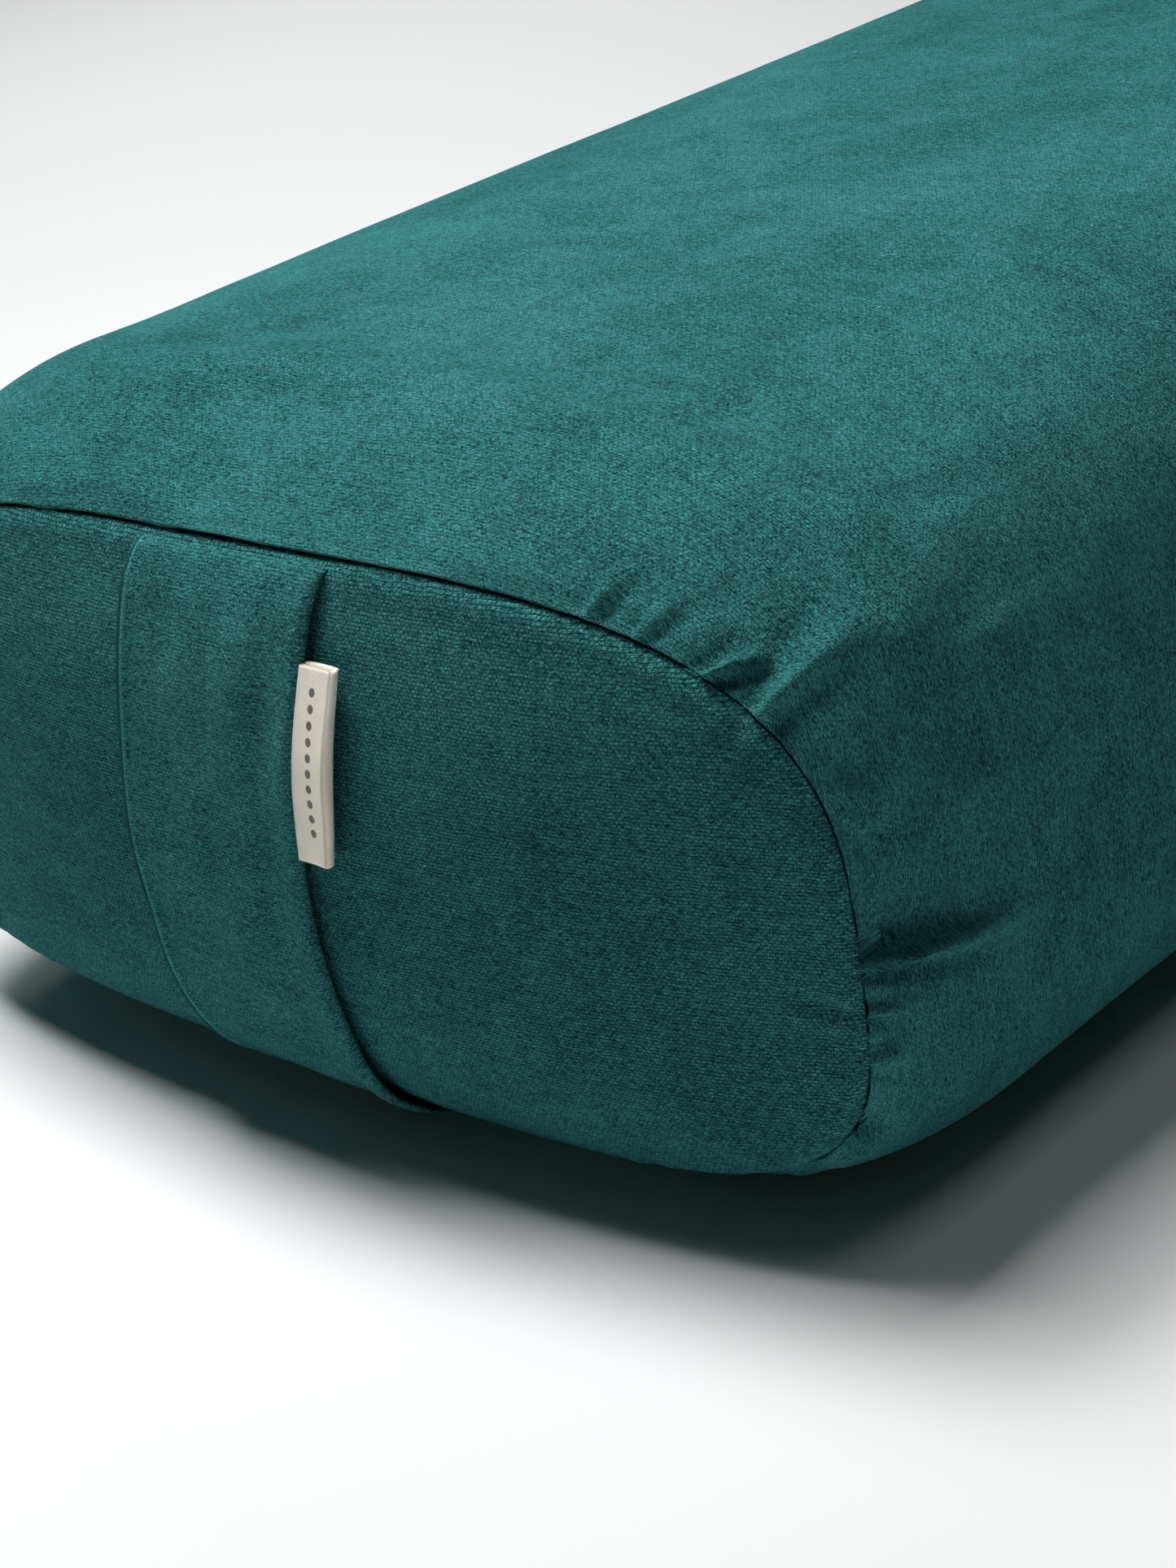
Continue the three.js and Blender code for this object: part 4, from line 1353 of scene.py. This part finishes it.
def printed_dots(shade, across, up):
    """1 inside a plain column of printed dots, and 0 elsewhere."""
    row = shade.math("SUBTRACT", shade.math("FRACT", shade.math("DIVIDE", up, DOT_PITCH)), 0.5)
    row = shade.math("POWER", shade.math("MULTIPLY", row, DOT_PITCH), 2.0)
    column = shade.math("POWER", shade.math("SUBTRACT", across, TAG_LOW.x + DOT_INSET), 2.0)
    distance = shade.math("SQRT", shade.math("ADD", row, column))
    dots = shade.ramp(distance, DOT_RADIUS, DOT_RADIUS * 1.2, 1.0, 0.0)
    middle = (TAG_LOW.z + TAG_HIGH.z) / 2 + DOT_COLUMN_RAISE
    from_middle = shade.math("ABSOLUTE", shade.math("SUBTRACT", up, middle))
    return shade.math("MULTIPLY", dots, shade.math("LESS_THAN", from_middle, DOT_COLUMN_HALF))


def tag_leather():
    """Cream imitation leather with a fine grain and a printed column of plain dots."""
    shade = Shader("tag_leather", Roughness=0.55, Specular_IOR_Level=0.35)
    flat = shade.cloth_place()
    across, up, printed = shade.parts(flat)
    grain = shade.noise(flat, 1300.0, 3.0, 0.6)
    colour = shade.blend(grain, rgb(0.86, 0.80, 0.67), rgb(0.97, 0.92, 0.80))
    stain = shade.ramp(shade.noise(flat, 170.0, 3.0), 0.4, 0.75)
    colour = shade.blend(shade.math("MULTIPLY", stain, 0.3), colour, rgb(0.74, 0.67, 0.54))
    ink = printed_dots(shade, across, up)
    ink = shade.math("MULTIPLY", shade.math("MULTIPLY", ink, printed), 0.85)
    colour = shade.blend(ink, colour, rgb(0.02, 0.019, 0.018))
    cells = shade.add("TexVoronoi", {"Vector": flat, "Scale": 2400.0}, "Distance")
    rise = shade.bump(shade.noise(flat, 120.0, 2.0), 0.0006, 0.5)
    rise = shade.bump(cells, 0.00006, 0.7, rise)
    return shade.finish(Base_Color=colour, Normal=rise)


def twill_tape():
    """Narrow zip tape: fine diagonal ribs."""
    shade = Shader("zip_tape", Roughness=0.85, Sheen_Weight=0.1)
    place = shade.object_place()
    turned = shade.add("VectorRotate", {"Vector": place, "Axis": (1.0, 0.0, 0.0), "Angle": 0.78})
    waves_at = {"Vector": turned, "Scale": 260.0, "Distortion": 0.6, "Detail": 2.0}
    ribs = shade.add("TexWave", waves_at, "Fac", bands_direction="Z")
    colour = shade.blend(ribs, rgb(0.008, 0.035, 0.037), rgb(0.022, 0.082, 0.085))
    grain = shade.noise(place, 900.0, 2.0)
    colour = shade.blend(shade.math("MULTIPLY", grain, 0.3), colour, rgb(0.035, 0.11, 0.11))
    return shade.finish(Base_Color=colour, Normal=shade.bump(ribs, 0.00012, 0.8))


def nylon_coil():
    """Dyed nylon, with a worn shine in patches."""
    shade = Shader("zip_coil", Roughness=0.34)
    place = shade.object_place()
    worn = shade.noise(place, 420.0, 3.0)
    colour = shade.blend(worn, rgb(0.012, 0.055, 0.058), rgb(0.03, 0.105, 0.108))
    rough = shade.ramp(shade.noise(place, 300.0, 2.0), 0.3, 0.7, 0.26, 0.46)
    return shade.finish(Base_Color=colour, Roughness=rough)


def zip_metal():
    """Plated zinc with fine scratches and slightly dull patches."""
    shade = Shader("zip_metal", Metallic=1.0)
    place = shade.object_place()
    scratches = shade.noise(shade.stretch(place, 1.0, 0.12), 2600.0, 3.0, 0.7)
    dull = shade.noise(place, 500.0, 3.0)
    colour = shade.blend(dull, rgb(0.42, 0.43, 0.43), rgb(0.62, 0.62, 0.60))
    rough = shade.ramp(dull, 0.3, 0.7, 0.24, 0.46)
    return shade.finish(
        Base_Color=colour, Roughness=rough, Normal=shade.bump(scratches, 0.00002, 0.5)
    )


def thread(name, dark, light):
    """Sewing thread, with its strands showing."""
    shade = Shader(name, Roughness=0.7, Sheen_Weight=0.15)
    place = shade.object_place()
    strands = shade.add("TexWave", {"Vector": place, "Scale": 900.0, "Distortion": 1.0}, "Fac")
    colour = shade.blend(strands, dark, light)
    return shade.finish(Base_Color=colour, Normal=shade.bump(strands, 0.00005, 0.6))


def plain_weave(name, dark, light, scale, height):
    """A simple over-and-under weave, for the cloths inside the cover."""
    shade = Shader(name, Roughness=0.9, Sheen_Weight=0.1)
    place = shade.object_place()
    sockets = {"Vector": place, "Scale": scale, "Distortion": 0.8}
    across = shade.add("TexWave", sockets, "Fac")
    along = shade.add("TexWave", sockets, "Fac", bands_direction="Y")
    woven = shade.math("MAXIMUM", across, along)
    tone = shade.math("ADD", shade.math("MULTIPLY", woven, 0.5), shade.noise(place, 60.0, 4.0))
    colour = shade.blend(shade.math("MULTIPLY", tone, 0.8), dark, light)
    return shade.finish(Base_Color=colour, Normal=shade.bump(woven, height, 0.7))


def cotton_batting():
    """Loose cotton felt: clumps, fine fibres and seed specks."""
    shade = Shader("batting", Roughness=0.97, Sheen_Weight=0.3)
    place = shade.object_place()
    clumps = shade.noise(place, 90.0, 5.0, 0.7)
    fibres = shade.noise(place, 1400.0, 3.0, 0.7)
    colour = shade.blend(clumps, rgb(0.60, 0.57, 0.50), rgb(0.82, 0.80, 0.75))
    specks = shade.ramp(shade.noise(place, 420.0, 1.0), 0.72, 0.78)
    colour = shade.blend(shade.math("MULTIPLY", specks, 0.6), colour, rgb(0.25, 0.18, 0.11))
    rise = shade.bump(fibres, 0.0005, 0.8, shade.bump(clumps, 0.004, 0.8))
    return shade.finish(Base_Color=colour, Normal=rise)


def dress_inner_nodes():
    """Procedural materials for the frame's own parts, which are all inside the cover."""
    finishes = {
        "liner": plain_weave("calico", rgb(0.50, 0.45, 0.36), rgb(0.72, 0.67, 0.57), 500.0, 0.0001),
        "batting": cotton_batting(),
        "zip_tape": twill_tape(),
        "care": plain_weave("care_label", rgb(0.7, 0.69, 0.66), rgb(0.86, 0.85, 0.83), 1500.0, 0.00003),
    }
    finishes["core"] = finishes["batting"]
    for name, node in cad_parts.items():
        for start, finish in finishes.items():
            if name.startswith(start) and not node.hide_render:
                node.data.materials.clear()
                node.data.materials.append(finish)
                if start == "liner":
                    node.data.shade_smooth()


# --- Camera, floor and light ----------------------------------------------------------------------

CAMERA_AT = Vector((0.4882, -0.7099, 0.3509))
CAMERA_AZIMUTH = math.radians(44.9)
CAMERA_ELEVATION = math.radians(24.0)
CAMERA_ROLL = math.radians(-8.97)
CAMERA_LENS = 75.44


def place_camera():
    """A long lens off the front right corner, looking down and rolled a little."""
    data = bpy.data.cameras.new("camera")
    data.lens = CAMERA_LENS
    data.sensor_width = 36
    data.clip_start = 0.01
    camera = add_to_scene("camera", data)
    facing = Matrix.Rotation(CAMERA_AZIMUTH, 4, "Z")
    tilt = Matrix.Rotation(math.pi / 2 - CAMERA_ELEVATION, 4, "X")
    roll = Matrix.Rotation(CAMERA_ROLL, 4, "Z")
    camera.matrix_world = Matrix.Translation(CAMERA_AT) @ facing @ tilt @ roll
    bpy.context.scene.camera = camera


FLOOR_RADIUS = 5.8
FLOOR_SIDES = 96


def around_circle(radius, count):
    turns = [2 * math.pi * step / count for step in range(count)]
    return [(radius * math.cos(turn), radius * math.sin(turn)) for turn in turns]


def add_floor():
    edge = [(x, y, 0) for x, y in around_circle(FLOOR_RADIUS, FLOOR_SIDES)]
    shade = Shader("floor", Roughness=0.8, Specular_IOR_Level=0.1)
    tone = shade.noise(shade.object_place(), 0.6, 1.0)
    colour = shade.blend(tone, rgb(0.91, 0.92, 0.925), rgb(0.94, 0.95, 0.955))
    floor = add_object("floor", edge, [tuple(range(FLOOR_SIDES))], shade.finish(Base_Color=colour))


def add_light(name, at, towards, size, power, spread=180):
    """A rectangular lamp that faces a point. spread is in degrees."""
    data = bpy.data.lights.new(name, "AREA")
    data.shape = "RECTANGLE"
    data.size, data.size_y = size
    data.energy = power
    data.spread = math.radians(spread)
    light = add_to_scene(name, data)
    light.location = at
    light.rotation_euler = (Vector(towards) - Vector(at)).to_track_quat("-Z", "Y").to_euler()


ROOM_LIGHT = 0.012
WALL_BRIGHTNESS = 0.75
SUBJECT = (0, -0.28, 0.05)
FAR_LAMPS = 8
FAR_LAMP_RADIUS = 4.7
FAR_LAMP_HEIGHT = 3.0


def light_room():
    """A pale room that the camera sees, and that lights the object only faintly."""
    world = bpy.data.worlds.new("studio")
    world.use_nodes = True
    nodes, links = world.node_tree.nodes, world.node_tree.links
    background = nodes["Background"]
    background.inputs["Color"].default_value = rgb(0.96, 1.0, 0.98)
    seen = nodes.new("ShaderNodeMath")
    seen.operation = "MULTIPLY_ADD"
    seen.inputs[1].default_value = WALL_BRIGHTNESS
    seen.inputs[2].default_value = ROOM_LIGHT
    links.new(nodes.new("ShaderNodeLightPath").outputs["Is Camera Ray"], seen.inputs[0])
    links.new(seen.outputs[0], background.inputs["Strength"])
    bpy.context.scene.world = world
    bpy.context.scene.view_settings.view_transform = "Standard"


def add_lights():
    """A soft box overhead and one at the left, weak fills, and lamps over the floor round about."""
    add_light("key_overhead", (-0.10, -0.27, 0.90), SUBJECT, (0.36, 0.36), 5.7)
    add_light("key_left", (-0.63, -0.11, 1.51), SUBJECT, (0.5, 0.5), 12.0)
    add_light("fill_front", (-0.9, -1.3, 0.10), SUBJECT, (1.0, 0.15), 0.6)
    add_light("fill_right", (0.65, -0.28, 1.51), SUBJECT, (0.6, 0.6), 1.7)
    add_light("background", (-1.0, 0.6, 0.9), (-1.0, 0.6, 0), (0.5, 0.5), 4.2)
    for step, (x, y) in enumerate(around_circle(FAR_LAMP_RADIUS, FAR_LAMPS)):
        above = (x, y, FAR_LAMP_HEIGHT)
        add_light(f"far_floor_{step}", above, (x, y, 0), (3.0, 3.0), 34, spread=76)


# --- The whole bolster ----------------------------------------------------------------------------


MIDDLE_CALM = 0.92  # how much of the simulated folds is left out along the middle of the tube
CALM_CELLS = (6, 16)  # cloth cells from the seam over which they die away
SEAM_CELLS = (0, 2.5)  # cells over which the moves fade in from a seam, the zip or a panel's edge
ZIP_CELLS = (3, 9)
PANEL_EDGE_CELLS = (0, 3)


def settled_moves(grid):
    """The cloth's moves on the tube's grid and on each panel's, faded out at seams and zip."""
    moves = grid.settle()
    rows = len(grid.rows_y)
    tube = kept_moves(moves[: rows * grid.columns].reshape(rows, grid.columns, 3), ring=True)
    row = np.arange(rows)
    from_seam = np.minimum(row, row[::-1])[:, None]
    from_zip = np.abs(np.arange(grid.columns) - zip_place() * SIDE_CELLS)[None, :]
    calm = 1 - MIDDLE_CALM * smooth(from_seam, *CALM_CELLS)
    tube *= (calm * smooth(from_seam, *SEAM_CELLS) * smooth(from_zip, *ZIP_CELLS))[..., None]
    panels = {}
    for end, index in grid.panel_index.items():
        panel = kept_moves(moves[index], ring=False)
        cell = np.arange(SIDE_CELLS + 1)
        inside = np.minimum(cell, cell[::-1])
        inside = np.minimum(inside[:, None], inside[None, :])
        panels[end] = panel * smooth(inside, *PANEL_EDGE_CELLS)[..., None]
    return tube, panels


def build_bolster():
    """Every piece of the bolster, the cover, tag and zip each on its body, and the frame's inner parts
    in their finishes.
    """
    dark, light = rgb(0.007, 0.054, 0.055), rgb(0.088, 0.425, 0.420)
    cover = brushed_cotton("cover_cloth", dark, light, nap=1.0, weave=0.45)
    panel_cloth = brushed_cotton("panel_cloth", dark, light, nap=0.7, weave=0.8)
    # The strap's left fold gets a painted highlight, a paler line 1 mm wide.
    strap_cloth = brushed_cotton("strap_cloth", dark, light, nap=0.8, weave=0.6, painted_highlight_width=0.001)
    interlining = plain_weave(
        "interlining", rgb(0.5, 0.49, 0.46), rgb(0.7, 0.69, 0.66), 650.0, 0.00008
    )
    leather = tag_leather()
    metal = zip_metal()
    coil = nylon_coil()
    grid = SimGrid()
    tube_moves, panel_moves = settled_moves(grid)
    wrap = Wrap(tube_moves)
    cover_wrap = wrap.build(cover)
    place_piece(cover_wrap, "bolster", "cover_cloth", "cover_wrap")
    for word, end in (("front", FRONT), ("rear", REAR)):
        panel = Panel(end, panel_moves[end])
        made = panel.build(f"cover_end_{word}_visual", panel_cloth)
        place_piece(made, "bolster", "cover_cloth", f"cover_end_{word}")
        strap = Strap(end, panel)
        strap.build(word, strap_cloth, interlining)
        if end == FRONT:
            build_tag(strap, leather)
    zip_frame = ZipFrame()
    build_chain("upper", 1, zip_frame, coil)
    build_chain("lower", -1, zip_frame, coil)
    build_slider(zip_frame, metal)
    build_stitching(wrap, thread("zip_thread", rgb(0.02, 0.08, 0.085), rgb(0.05, 0.17, 0.17)))
    dress_inner_nodes()


place_camera()
add_floor()
light_room()
add_lights()
build_bolster()
